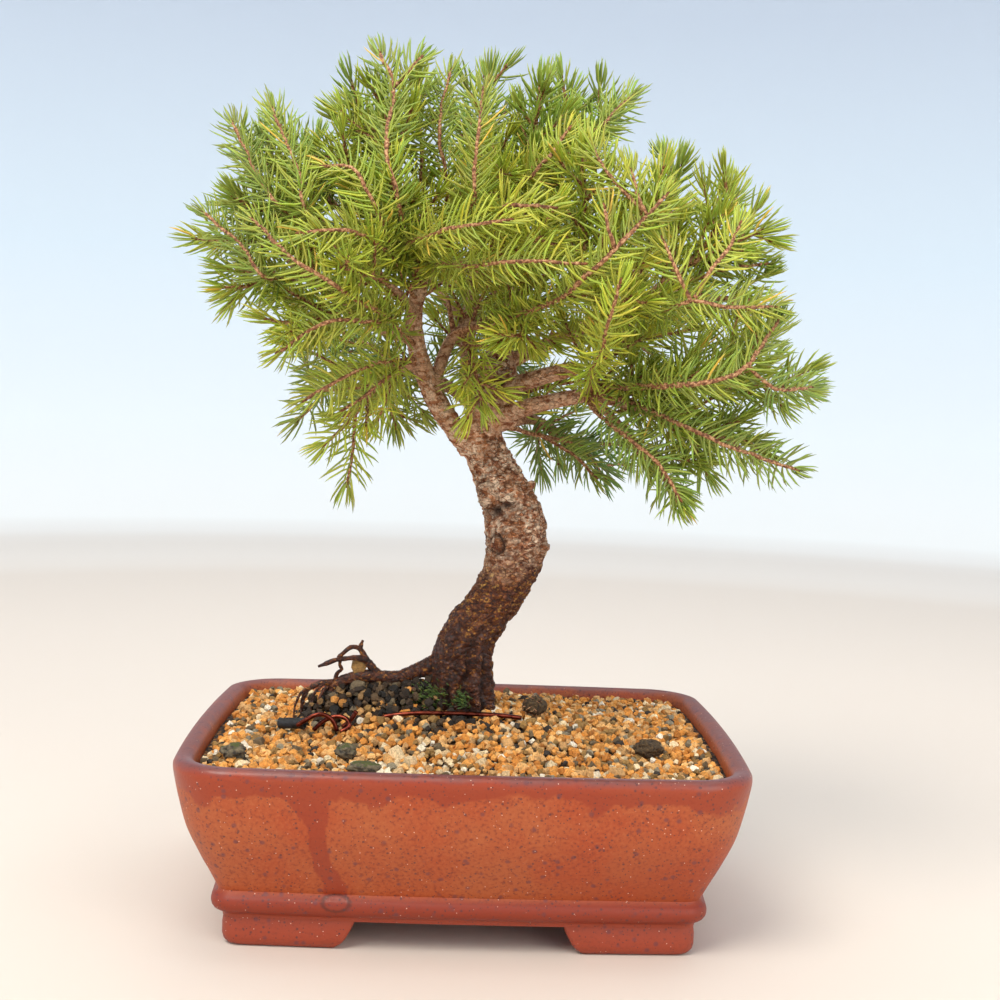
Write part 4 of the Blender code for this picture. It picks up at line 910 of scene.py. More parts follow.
def spruce_bark():
    """Spruce bark, grown in thin flakes: pink-tan and dry above, and below the knot damp and dark, with
    flecks of rust and gold. Its hollows, the grooves at its foot and the ring round its knot carry painted
    shade."""
    finish = new_finish("spruce_bark")
    place = pot_place(finish)
    height = add(finish, "SeparateXYZ", {0: place}).outputs[2]
    marks = add(finish, "Attribute", attribute_name="tint").outputs["Color"]
    crack, thick, hollow = add(finish, "SeparateColor", {0: marks}).outputs
    broad, medium, fine = (
        add(finish, "TexNoise", {"Vector": place, "Scale": 1 / size, "Detail": detail}).outputs[0]
        for size, detail in ((8.0, 3.0), (2.4, 4.0), (0.8, 5.0))
    )
    large, large_pick = flakes(finish, place, 2.3, 1.8, 0.85)
    small, small_pick = flakes(finish, place, 1.0, 1.5, 0.6)
    shade = summed(finish, (0.217, small_pick), (0.62, medium), (0.3, large_pick))
    grit = summed(finish, (0.36, fine), (0.22, small_pick), (0.45, medium))
    tan = ((0.33, "#6A341C"), (0.43, "#B4704A"), (0.54, "#DEA57E"), (0.66, "#FADCBE"))
    upper = add(finish, "ValToRGB", {0: shade}, stops=tan).outputs[0]
    upper = laid(finish, upper, "#AE6A34", broad, 0.48, 0.64, 0.55)
    twig = laid(finish, "#8E5636", "#D6A682", shade, 0.35, 0.6)
    upper = laid(finish, twig, upper, thick, 0.0, 0.5)
    rust = ((0.38, "#2C1106"), (0.48, "#5C2A10"), (0.57, "#8A4A1A"), (0.66, "#C48A34"), (0.74, "#E6C06A"))
    middle = add(finish, "ValToRGB", {0: grit}, stops=rust).outputs[0]
    wet = ((0.38, "#180803"), (0.5, "#3C1808"), (0.6, "#66300F"), (0.7, "#B47828"))
    lower = add(finish, "ValToRGB", {0: grit}, stops=wet).outputs[0]
    level = summed(finish, (30.0, broad), (1.0, height))
    colour = laid(finish, middle, upper, level, 127.0, 143.0)
    colour = laid(finish, colour, lower, level, 120.0, 103.0)
    dark = add(finish, "Math", {0: large, 1: small}, operation="MAXIMUM").outputs[0]
    dark = add(finish, "Math", {0: dark, 1: summed(finish, (0.8, crack))}, operation="MAXIMUM").outputs[0]
    girth = add(finish, "MapRange", {"Value": thick, "To Min": 0.55}).outputs[0]
    dark = add(finish, "Math", {0: dark, 1: girth}, operation="MULTIPLY").outputs[0]
    colour = laid(finish, colour, "#43200F", dark, 0.0, 1.0)
    # Painted shade, near black, in the hollows, the grooves of the foot and round the knot
    colour = laid(finish, colour, "#241007", hollow, 0.0, 1.0)
    relief = summed(finish, (0.5, small_pick), (1.0, large_pick), (-1.4, dark))
    rough = {"Value": level, "From Min": 145.0, "From Max": 110.0, "To Min": 0.85, "To Max": 0.5}
    rough = add(finish, "MapRange", rough).outputs[0]
    bump = add(finish, "Bump", {"Height": relief, "Strength": 0.9, "Distance": 0.45 * MM}).outputs[0]
    return surface(finish, Base_Color=colour, Roughness=rough, Normal=bump)


def shoot_bark():
    """The bark of this and last year's shoots: reddish tan, grooved between the needles' pegs."""
    finish = new_finish("shoot_bark")
    place = pot_place(finish)
    fine = add(finish, "TexNoise", {"Vector": place, "Scale": 1 / 0.9, "Detail": 3.0}).outputs[0]
    stops = ((0.36, "#5E3620"), (0.5, "#9A6440"), (0.64, "#CFA074"))
    colour = add(finish, "ValToRGB", {0: fine}, stops=stops).outputs[0]
    bump = add(finish, "Bump", {"Height": fine, "Strength": 0.8, "Distance": 0.4 * MM}).outputs[0]
    return surface(finish, Base_Color=colour, Roughness=0.7, Normal=bump)


def spruce_needle():
    """Living needles under their wax: a soft sheen, each with its own green, paler towards its foot."""
    finish = new_finish("spruce_needle")
    tint = add(finish, "Attribute", attribute_name="tint").outputs
    colour = laid(finish, tint["Color"], "#C3CC78", tint["Alpha"], 0.35, 0.0, 0.35)
    return surface(finish, Base_Color=colour, Roughness=0.42, IOR=1.45)


def bud_scale():
    """Winter buds in papery scales: rusty brown and dry."""
    finish = new_finish("bud_scale")
    place = pot_place(finish)
    fine = add(finish, "TexNoise", {"Vector": place, "Scale": 1 / 0.6, "Detail": 2.0}).outputs[0]
    colour = add(finish, "ValToRGB", {0: fine}, stops=((0.3, "#4F2A16"), (0.7, "#9A5B30"))).outputs[0]
    return surface(finish, Base_Color=colour, Roughness=0.6)


def anodised_wire():
    """Soft aluminium wire, drawn and anodised copper-brown: dark metal, mottled where it was handled."""
    finish = new_finish("anodised_aluminium")
    place = pot_place(finish)
    fine = add(finish, "TexNoise", {"Vector": place, "Scale": 1 / 1.8, "Detail": 3.0}).outputs[0]
    colour = laid(finish, "#52221C", "#84402F", fine, 0.35, 0.7)
    rough = add(finish, "MapRange", {"Value": fine, "To Min": 0.2, "To Max": 0.42}).outputs[0]
    return surface(finish, Base_Color=colour, Roughness=rough, Metallic=1.0)


def plain_grain(name, low, high, size, roughness, moss=0.0):
    """A dull mineral or rubber: two shades mottled at one grain size, and moss on top where it has any."""
    finish = new_finish(name)
    place = pot_place(finish)
    fine = add(finish, "TexNoise", {"Vector": place, "Scale": 1 / size, "Detail": 5.0}).outputs[0]
    colour = laid(finish, low, high, fine, 0.35, 0.65)
    if moss:
        broad = add(finish, "TexNoise", {"Vector": place, "Scale": 1 / 2.5, "Detail": 3.0}).outputs[0]
        upward = add(finish, "SeparateXYZ", {0: add(finish, "NewGeometry").outputs["Normal"]}).outputs[2]
        grown = add(finish, "Math", {0: broad, 1: upward}, operation="MULTIPLY").outputs[0]
        colour = laid(finish, colour, "#4A4E26", grown, 1 - moss, 1.1 - moss)
    bump = add(finish, "Bump", {"Height": fine, "Strength": 0.9, "Distance": 0.5 * MM}).outputs[0]
    return surface(finish, Base_Color=colour, Roughness=roughness, Normal=bump)


def moss_leaf():
    """Living moss: fine soft leaves, dark at the foot and yellow-green at the tips."""
    finish = new_finish("moss_leaf")
    tint = add(finish, "Attribute", attribute_name="tint").outputs
    colour = laid(finish, "#1E2B10", tint["Color"], tint["Alpha"], 0.0, 1.0)
    return surface(finish, Base_Color=colour, Roughness=0.7)


# Pot

def pot_outline(inset):
    """The pot's outline in plan at a given inset, with bowed sides and round corners."""
    corner = max(RIM_CORNER - inset, LEAST_CORNER)
    half_x = POT_LENGTH / 2 - inset
    half_y = POT_DEPTH / 2 - inset
    ring = []
    for quarter in range(4):
        sign_x = 1 if quarter in (0, 3) else -1
        sign_y = 1 if quarter in (0, 1) else -1
        for step in range(CORNER_STEPS + 1):
            angle = (quarter + step / CORNER_STEPS) * math.pi / 2
            x = sign_x * (half_x - SIDE_BOW - corner) + corner * math.cos(angle)
            y = sign_y * (half_y - SIDE_BOW - corner) + corner * math.sin(angle)
            ring.append((x, y))
        start = ring[-1]
        for point in range(1, SIDE_POINTS + 1):
            share = point / (SIDE_POINTS + 1)
            bow = SIDE_BOW * 4 * share * (1 - share)
            if quarter in (0, 2):
                ring.append((start[0] * (1 - 2 * share), start[1] + sign_y * bow))
            else:
                ring.append((start[0] + sign_x * bow, start[1] * (1 - 2 * share)))
    return ring


def within_outline(x, y, inset):
    """How far places lie inside the pot's outline at a given inset, less than 0 outside it."""
    corner = max(RIM_CORNER - inset, LEAST_CORNER)
    out_x = np.abs(x) - (POT_LENGTH / 2 - inset - SIDE_BOW - corner)
    out_y = np.abs(y) - (POT_DEPTH / 2 - inset - SIDE_BOW - corner)
    outside = np.hypot(np.maximum(out_x, 0), np.maximum(out_y, 0))
    return corner - outside - np.minimum(np.maximum(out_x, out_y), 0)


def foot_ring(drawn, height):
    """A foot's outline at a height, an L in plan with slanted inner ends, drawn in all round."""
    slant = FOOT_SLANT * (1 - min(height / FOOT_HEIGHT, 1)) + drawn
    ring = []
    for inset, order in ((FOOT_INSET + drawn, 1), (FOOT_INSET + FOOT_THICKNESS - drawn, -1)):
        corner = max(RIM_CORNER - inset, LEAST_CORNER)
        half_x = POT_LENGTH / 2 - inset - SIDE_BOW
        half_y = POT_DEPTH / 2 - inset - SIDE_BOW
        end_x, end_y = half_x - corner, half_y - corner
        line = [
            (half_x + SIDE_BOW * (1 - (y / end_y) ** 2), y)
            for y in np.linspace(FOOT_GAPS[1] + slant, end_y, FOOT_STEPS)[:-1]
        ]
        line += [
            (end_x + corner * math.cos(angle), end_y + corner * math.sin(angle))
            for angle in np.linspace(0, math.pi / 2, CORNER_STEPS + 1)
        ]
        line += [
            (x, half_y + SIDE_BOW * (1 - (x / end_x) ** 2))
            for x in np.linspace(end_x, FOOT_GAPS[0] + slant, FOOT_STEPS)[1:]
        ]
        ring += line[::order]
    return [(x, y, height) for x, y in ring]


def make_foot(sign_x, sign_y):
    """One corner foot, rounded where it meets the table and at its inner ends."""
    bm = ring_body([foot_ring(drawn, height) for drawn, height in FOOT_PROFILE])
    upright = [
        edge
        for edge in bm.edges
        if edge.calc_face_angle(0) > math.radians(60) and abs(edge.verts[0].co.z - edge.verts[1].co.z) > 0.1
    ]
    bmesh.ops.bevel(
        bm,
        geom=upright,
        offset=FOOT_BEVEL,
        affect="EDGES",
        segments=3,
        profile=0.5,
        material=-1,
        clamp_overlap=True,
    )
    bmesh.ops.scale(bm, vec=(sign_x, sign_y, 1), verts=bm.verts)
    bmesh.ops.recalc_face_normals(bm, faces=bm.faces)
    return bm


def make_pot():
    profile = np.vstack([smooth_path(OUTSIDE, PROFILE_STEP, 2), smooth_path(INSIDE, 4 * PROFILE_STEP, 2)])
    rings = [[(x, y, height) for x, y in pot_outline(inset)] for inset, height in profile]
    body = mesh_from(ring_body(rings))
    for side in (-1, 1):
        bm = bmesh.new()
        middle = Matrix.Translation((side * DRAIN_OFFSET, 0, FLOOR_HEIGHT - 3))
        bmesh.ops.create_cone(
            bm,
            cap_ends=True,
            segments=40,
            radius1=DRAIN_RADIUS,
            radius2=DRAIN_RADIUS,
            depth=DRAIN_DEPTH,
            matrix=middle,
        )
        cutter = linked("cutter", mesh_from(bm))
        body = evaluated(body, "BOOLEAN", operation="DIFFERENCE", solver="EXACT", object=cutter)
        bpy.data.objects.remove(cutter)
    bm = bmesh.new()
    bm.from_mesh(body)
    for sign_x in (-1, 1):
        for sign_y in (-1, 1):
            bm.from_mesh(mesh_from(make_foot(sign_x, sign_y)))
    add_piece(mesh_from(bm), "pot_body", [stoneware()], ["pot"], sharp=45)


# Soil

def soil_height(x, y):
    """The soil's level at places: a mound round the trunk and a heap of humus under the long root."""
    from_trunk = np.hypot(x - TRUNK_FOOT[0], y - TRUNK_FOOT[1])
    from_humus = np.hypot((x - HUMUS_PLACE[0]) * HUMUS_LONG, y - HUMUS_PLACE[1])
    mound = MOUND_HEIGHT * np.exp(-0.5 * (from_trunk / MOUND_SPREAD) ** 2)
    humus = HUMUS_HEIGHT * np.exp(-0.5 * (from_humus / HUMUS_SPREAD) ** 2)
    return SOIL_EDGE_HEIGHT + mound + humus


def make_soil_bed():
    """The soil under the loose grains, from the pot's floor up its inside and across the top."""
    rings = []
    for inset, height in (*INSIDE[:0:-1], (SOIL_INSET, BED_EDGE)):
        rings.append([(x, y, height + BED_RISE) for x, y in pot_outline(inset + BED_GAP)])
    for number in range(BED_RINGS):
        share = 1 - (number / BED_RINGS) ** 1.2
        ring = []
        for x, y in pot_outline(SOIL_INSET):
            place = Vector((x * share, y * share, 0.0))
            lumps = 0.7 * noise.noise(place * 0.3)
            ring.append((place.x, place.y, soil_height(place.x, place.y) - BED_DROP + lumps))
        rings.append(ring)
    add_piece(mesh_from(ring_body(rings)), "soil_bed", [soil_crumb()], ["soil"])


def grain_shapes(draw):
    """Rough-cornered lumps one unit in radius."""
    shapes = []
    for _ in range(GRAIN_SHAPES):
        bm = bmesh.new()
        bmesh.ops.create_cube(bm, size=1.0)
        bmesh.ops.subdivide_edges(bm, edges=bm.edges, cuts=1, use_grid_fill=True)
        for vert in bm.verts:
            rounded = vert.co.normalized()
            vert.co = vert.co.lerp(rounded * 0.62, 0.5) * 1.5 * draw.uniform(0.78, 1.16)
        shapes.append(template_of(bm))
    return shapes


def lump_places(draw, x, y, z, size, stretches, kinds):
    """A turn, a stretch, a place and a shape for each of many lumps."""
    count = len(x)
    stretch = draw.uniform(*stretches, (count, 3))
    turns = random_turns(draw, count) * (stretch * size[:, None] / 2)[:, None, :]
    places = np.concatenate([turns, np.stack([x, y, z], axis=1)[:, :, None]], axis=2)
    return places, draw.integers(kinds, size=count)


def make_grains(clay):
    """Loose grains over the bed, each a lump of its own size, turn and colour."""
    draw = np.random.default_rng(SEED)
    shapes = grain_shapes(random.Random(SEED))
    columns = int(POT_LENGTH / GRAIN_SPACING)
    rows = int(POT_DEPTH / GRAIN_SPACING)
    column, row = np.meshgrid(np.arange(columns), np.arange(rows))
    x = (column + 0.5 * (row % 2) - columns / 2).ravel() * GRAIN_SPACING
    y = (row - rows / 2).ravel() * GRAIN_SPACING
    x = x + draw.normal(0, 0.5, len(x))
    y = y + draw.normal(0, 0.5, len(y))
    size = GRAIN_SIZES[0] + (GRAIN_SIZES[1] - GRAIN_SIZES[0]) * draw.beta(1.6, 2.4, len(x))
    size = np.where(draw.random(len(x)) < 0.03, size * 1.45, size)
    from_trunk = np.hypot(x - TRUNK_FOOT[0], y - TRUNK_FOOT[1])
    kept = (within_outline(x, y, GRAIN_INSET) > size / 2) & (from_trunk > TRUNK_CLEARANCE)
    x, y, size = x[kept], y[kept], size[kept]
    count = len(x)
    z = soil_height(x, y) + draw.uniform(-1.1, 0.6, count)
    humus = np.exp(-0.5 * (np.hypot((x + 33) * 0.75, y - 4) / 9) ** 2)
    humus += 0.9 * np.exp(-0.5 * (np.hypot((x + 1) * 0.7, y + 9) / 6) ** 2)
    dark = draw.random(count) < humus
    colours = mixed_colours(draw, count, GRAIN_COLOURS, 0.16)
    pale = np.exp(-0.5 * ((x + 14) / 12) ** 2) * fade(-y, 20, 45) + fade(-y, 55, 66) * 0.5
    paler = draw.random(count) < 0.45 * pale
    colours[paler] = mixed_colours(draw, paler.sum(), PALE_COLOURS, 0.1)
    colours[dark] = mixed_colours(draw, dark.sum(), HUMUS_COLOURS, 0.25)
    places, kind = lump_places(draw, x, y, z, size, (0.8, 1.15), len(shapes))
    for name, side in (("grains_front", y < 0), ("grains_back", y >= 0)):
        gathered = Gather()
        for number, shape in enumerate(shapes):
            chosen = side & (kind == number)
            gathered.stamp(shape, places[chosen], colours[chosen])
        add_piece(gathered.mesh(), name, [clay], sharp=38)


def make_humus(clay):
    """Dark crumbs and a few stones heaped under the long root, up to its underside."""
    draw = np.random.default_rng(SEED + 2)
    shapes = grain_shapes(random.Random(SEED + 2))
    gathered = Gather()
    x = draw.uniform(HUMUS_TOPS[0][0], HUMUS_TOPS[0][-1], HUMUS_COUNT)
    y = HUMUS_LINE + draw.normal(0, 4.2, HUMUS_COUNT)
    level = np.interp(x, *HUMUS_TOPS) - 0.16 * (y - HUMUS_LINE) ** 2
    floor = soil_height(x, y)
    z = floor + (level - floor) * draw.random(HUMUS_COUNT) ** 0.6
    kept = (level > floor) & (np.hypot(x - TRUNK_FOOT[0], y - TRUNK_FOOT[1]) > HUMUS_CLEARANCE)
    x, y, z = x[kept], y[kept], z[kept]
    count = len(x)
    size = draw.uniform(1.3, 3.4, count)
    size = np.where(draw.random(count) < 0.09, size * 1.7, size)
    colours = mixed_colours(draw, count, HUMUS_COLOURS, 0.25)
    stony = draw.random(count) < 0.16
    colours[stony] = mixed_colours(draw, stony.sum(), HUMUS_STONES, 0.15)
    places, kind = lump_places(draw, x, y, z, size, (0.75, 1.2), len(shapes))
    for number, shape in enumerate(shapes):
        gathered.stamp(shape, places[kind == number], colours[kind == number])
    caught = np.array(Matrix.Rotation(math.radians(35), 3, "Y")) @ np.diag(CAUGHT_STONE)
    gathered.stamp(shapes[4], np.column_stack([caught, CAUGHT_PLACE])[None], [linear("#94703E")[:3]])
    add_piece(gathered.mesh(), "humus_heap", [clay], sharp=38)


# Wood

def bough_paths():
    return {name: smooth_path(points, BOUGH_STEP) for name, (points, _) in BOUGHS.items()}


def spray_path(bough, share, tip):
    """A curve that leaves the bough along its own direction and turns towards the tip."""
    start, along = point_at(bough, share)
    tip = np.array(tip, float)
    reach = np.linalg.norm(tip - start)
    toward = (tip - start) / reach
    follow = END_FOLLOW if share == 1 else SIDE_FOLLOW
    bend = start + (along * follow + toward * (1 - follow)) * reach / 2
    t = np.linspace(0, 1, 2 * CURVE_STEPS)[:, None]
    curve = (1 - t) ** 2 * start + 2 * t * (1 - t) * bend + t**2 * tip
    return smooth_path(curve, 1.0)


def bare_share(path):
    """The share of a spray's path, a point for each millimetre, that is bare twig."""
    length = len(path) - 1
    return 1 - min(SHOOT_LENGTH, length * MOST_SHOOT) / length


def trunk_body(path):
    """The trunk's plain form, before its bark: a ring at each point of its path, square to it."""
    rings = []
    for i, (x, y, z, radius) in enumerate(path):
        ahead = path[min(i + 1, len(path) - 1)] - path[max(i - 1, 0)]
        tilt = Vector((0, 0, 1)).rotation_difference(Vector(ahead[:3]))
        ring = []
        for k in range(TRUNK_SIDES):
            angle = 2 * math.pi * k / TRUNK_SIDES
            out = tilt @ Vector((math.cos(angle), math.sin(angle), 0))
            ring.append(Vector((x, y, z)) + out * radius)
        rings.append(ring)
    return ring_body(rings)


def bark_relief(place, middle, radius):
    """How far the bark rises or sinks at a place, and its marks: crack, girth, and painted shade in its
    hollows.
    """
    thick = float(fade(radius, 1.2, 8.0))
    bent = place + noise.noise_vector(place / 2.5) * FLAKE_WANDER
    distances, cells = noise.voronoi(Vector((bent.x / FLAKE[0], bent.y / FLAKE[0], bent.z / FLAKE[1])))
    crack = thick * (1 - float(fade(distances[1] - distances[0], 0.0, 0.28)))
    crack *= float(fade(noise.noise(place / 4.0), -0.45, 0.15))
    rise = 0.6 * thick * noise.noise(place / 6.0) - CRACK_DEPTH * crack
    rise += FLAKE_RISE * thick * (noise.cell(cells[0]) - 0.5) + 0.16 * noise.noise(place / 1.5)
    above_foot = 1 - float(fade(place.z, 74, 100))
    angle = math.atan2(place.y - middle.y, place.x - middle.x)
    ridge = math.cos(FOOT_RIDGES * (angle + RIDGE_PHASE) + 1.5 * noise.noise(place / 9))
    rise += RIDGE_DEPTH * thick * above_foot * ridge
    from_knot = (place - Vector(KNOT)).length
    rise += 0.9 * math.exp(-((from_knot / KNOT_RADIUS) ** 4))
    ring = math.exp(-(((from_knot - KNOT_RADIUS) / 0.7) ** 2))
    rise -= 1.0 * ring
    # Painted shade: the groove round the knot, the grooves between the foot's ridges and the pits in the
    # bark are darkened as deeply as they sink
    hollow = max(0.85 * ring, 0.75 * thick * above_foot * max(0.0, -ridge))
    for at, spread, depth in HOLLOWS:
        off = [(place[k] - at[k]) / spread[k] for k in range(3)]
        pit = math.exp(-sum(value * value for value in off))
        rise -= depth * pit
        hollow = max(hollow, pit)
    return rise, (crack, thick, hollow)


def make_bark(finish):
    """Trunk, thick root and boughs grown together, with flakes, cracks, ridges, a knot and hollows."""
    trunk = smooth_path(TRUNK, BARK_STEP)
    lines = [with_radii(smooth_path(points, BARK_STEP), *radii) for points, radii in BOUGHS.values()]
    lines.append(smooth_path(ROOTS[0], BARK_STEP))
    bm = trunk_body(trunk)
    bm.from_mesh(mesh_from(tubes(lines, 3)))
    for place, radius in BURLS:
        bmesh.ops.create_icosphere(bm, subdivisions=3, radius=radius, matrix=Matrix.Translation(place))
    mesh = evaluated(mesh_from(bm), "REMESH", mode="VOXEL", voxel_size=VOXEL)
    spine = np.vstack([trunk, *lines])
    tree = KDTree(len(spine))
    for number, point in enumerate(spine):
        tree.insert(point[:3], number)
    tree.balance()
    marks = np.ones((len(mesh.vertices), 4))
    for number, vert in enumerate(mesh.vertices):
        middle, nearest, _ = tree.find(vert.co)
        out = (vert.co - middle).normalized()
        rise, marks[number, :3] = bark_relief(vert.co, middle, spine[nearest, 3])
        vert.co = vert.co + out * rise
    tint = mesh.color_attributes.new("tint", "FLOAT_COLOR", "POINT")
    tint.data.foreach_set("color", marks.astype(np.float32).ravel())
    add_piece(mesh, "bark", [finish], ["tree_wood"])


def make_thin_wood(twigs, finish, root_finish):
    """The bare parts of the twigs, the snapped ones and the dead rootlets, each rooted in thicker wood."""
    lines = [with_radii(twig, *SPRAY_TWIG) for twig in twigs if len(twig) > 1]
    lines += [np.array(snag, float) for snag in SNAGS]
    rootlets = [smooth_path(root, 1.0) for root in ROOTS[1:]]
    draw = np.random.default_rng(SEED)
    for line in lines + rootlets:
        line[:, 3] *= draw.uniform(0.86, 1.16, len(line))
    add_piece(mesh_from(tubes(lines, 2)), "bare_twigs", [finish])
    add_piece(mesh_from(tubes(rootlets, 2)), "dead_rootlets", [root_finish])


# Foliage

def needle_shape():
    """A needle one long and one wide, four-sided, that bends towards +X at its tip."""
    bm = bmesh.new()
    bmesh.ops.create_circle(bm, cap_ends=True, segments=4, radius=0.5)
    cap = bm.faces[:][0]
    for height, width in NEEDLE_RINGS:
        if height:
            cap = bmesh.ops.extrude_discrete_faces(bm, faces=[cap])["faces"][0]
        for vert in cap.verts:
            flat = Vector((vert.co.x, vert.co.y, 0)).normalized() * width / 2
            vert.co = (flat.x, flat.y, height)
    bmesh.ops.poke(bm, faces=[cap])["verts"][0].co.z = 1.0
    for vert in bm.verts:
        vert.co.x += NEEDLE_BEND * vert.co.z**2
    bmesh.ops.recalc_face_normals(bm, faces=bm.faces)
    return template_of(bm)


def bud_shape():
    """A pointed bud one long and one wide."""
    bm = bmesh.new()
    bmesh.ops.create_uvsphere(bm, u_segments=7, v_segments=5, radius=0.5)
    for vert in bm.verts:
        vert.co.z += 0.5
        vert.co.xy *= 1.2 - 0.7 * vert.co.z
    return template_of(bm)


def shoot_frames(path, stations):
    """Places along a path with a point each millimetre, and three directions there: along and across."""
    index = np.arange(len(path))
    slopes = np.gradient(path, axis=0)
    base = np.stack([np.interp(stations, index, path[:, k]) for k in range(3)], axis=1)
    along = unit(np.stack([np.interp(stations, index, slopes[:, k]) for k in range(3)], axis=1))
    side = unit(np.cross(along, SHOOT_ACROSS))
    return base, along, side, np.cross(side, along)


def frame_at(path, station):
    """The place at one station along a path, and the three directions there."""
    return [value[0] for value in shoot_frames(path, np.array([station]))]


def turned_out(path, station, number, draw):
    """The place and direction at a station, and the way out of a numbered side shoot there."""
    base, along, side, over = frame_at(path, station)
    angle = GOLDEN * number + draw.uniform(-0.5, 0.5)
    return base, along, side * math.cos(angle) + over * math.sin(angle)


def add_bud(gathered, bud, shoot, size=BUD, sunk=0.3):
    """A bud on a shoot's end, sunk a little way into it."""
    end, along, side, over = frame_at(shoot, len(shoot) - 1.0)
    axes = [side * size[0], over * size[0], along * size[1], end - along * sunk]
    gathered.stamp(bud, np.stack(axes, axis=1)[None], [(1, 1, 1)], BUD_SLOT)


def clad(gathered, shape, path, first, draw, tint, size=1.0, face=-2.0, closeness=1.0):
    """Needles round a shoot from a first distance to its tip, in the golden angle's order.
    Those that would point forward past the face limit are left out."""
    total = len(path) - 1
    stations = np.arange(first, total + 0.3, 1 / (NEEDLES_PER_MM * closeness))
    stations = np.concatenate([stations, np.full(TIP_NEEDLES, total)])
    count = len(stations)
    base, along, side, over = shoot_frames(path, stations)
    angle = GOLDEN * np.arange(count) + draw.uniform(-0.4, 0.4, count)
    out = side * np.cos(angle)[:, None] + over * np.sin(angle)[:, None]
    near_tip = np.clip(1 - (total - stations) / TIP_REACH, 0, 1)
    lean = LEAN_BASE + (LEAN_TIP - LEAN_BASE) * near_tip**1.5 + draw.normal(0, 0.13, count)
    aims = unit(along * np.cos(lean)[:, None] + out * np.sin(lean)[:, None] + (0, 0, 0.1))
    length = size * NEEDLE_LENGTH * draw.uniform(0.8, 1.1, count) * (1 - 0.22 * near_tip)
    tips = base + aims * length[:, None]
    inside = np.all((tips > LOWEST + BOX_MARGIN) & (tips < HIGHEST - BOX_MARGIN), axis=1)
    kept = inside & (out[:, 1] > face)
    forward = unit(along - aims * (along * aims).sum(1)[:, None] + 1e-6)
    axes = [forward * NEEDLE_WIDTH, np.cross(aims, forward) * NEEDLE_THICKNESS, aims * length[:, None], base]
    places = np.stack(axes, axis=2)
    tints = tint * draw.uniform(0.68, 1.22, count)[:, None]
    tints = tints * draw.uniform((0.8, 0.95, 0.8), (1.12, 1.05, 1.3), (count, 3))
    dry = draw.random(count) < DRY_SHARE
    tints[dry] = linear(LEAF_COLOURS["dry"])[:3]
    gathered.stamp(shape, places[kept], tints[kept])


def side_path(start, along, out, length, lift):
    """A side shoot's curve: out at its angle, then bending forward and up."""
    begin = unit(along * math.cos(SIDE_ANGLE) + out * math.sin(SIDE_ANGLE))
    later = unit(begin + 0.35 * along + np.array((0, 0, lift)))
    middle = start + begin * length / 2
    end = middle + later * length / 2
    t = np.linspace(0, 1, 8)[:, None]
    return smooth_path((1 - t) ** 2 * start + 2 * t * (1 - t) * middle + t**2 * end, 1.0)


def grow(gathered, shapes, path, first, draw, tint, lines, sides_from, sides_to):
    """A shoot with its needles, its bud and its side shoots, which bear needles and buds too."""
    needle, bud = shapes
    shoots = [(path, first, SHOOT_RADIUS, 1.0)]
    total = len(path) - 1
    count = max(1, round(total * (sides_to - sides_from) / SIDE_SPACING))
    for number, station in enumerate(total * np.linspace(sides_from, sides_to, count)):
        base, along, out = turned_out(path, station, number, draw)
        share = station / total
        length = SIDE_LENGTHS[0] + (SIDE_LENGTHS[1] - SIDE_LENGTHS[0]) * share
        length = max(5, length * draw.uniform(0.75, 1.15) * (1 - 0.4 * max(0.0, -out[2])))
        shoot = side_path(base, along, out, length, draw.uniform(-0.1, 0.3))
        shoots.append((shoot, 1.6, SIDE_RADIUS, 0.94))
    for shoot, start, radius, size in shoots:
        clad(gathered, needle, shoot, start, draw, tint * draw.uniform(0.88, 1.12), size)
        lines.append(with_radii(shoot[int(max(0, start - 3)) :], radius, radius * TIP_SHARE))
        add_bud(gathered, bud, shoot)


def leaf_tint(tip, draw):
    """Painted light and shade: a lit yellow-green in the middle and at the front, and a shaded, deeper green
    at the edge, at the back and low at the left.
    """
    outer = np.linalg.norm((np.array(tip) - CROWN_MIDDLE) / CROWN_SHAPE) / CROWN_REACH
    # How much painted shade a spray gets, more towards the crown's edge and at its back; the lit, middle and
    # shaded greens are mixed by it
    painted_shade = 0.15 + 0.55 * float(fade(outer, 0.45, 1.05)) + 0.3 * float(fade(tip[1], 0, 50))
    painted_shade += draw.uniform(-0.12, 0.12)
    painted_light, full, dark = (np.array(linear(LEAF_COLOURS[name])[:3]) for name in ("painted_light", "full", "painted_shade"))
    if painted_shade < 0.5:
        return painted_light + (full - painted_light) * max(0, painted_shade) * 2
    return full + (dark - full) * min(1, (painted_shade - 0.5) * 2)


def is_open(place):
    """Whether a place is in the clear space in front of the trunk's head."""
    off = (np.asarray(place) - OPEN_PLACE) / OPEN_REACH
    return off @ off < 1


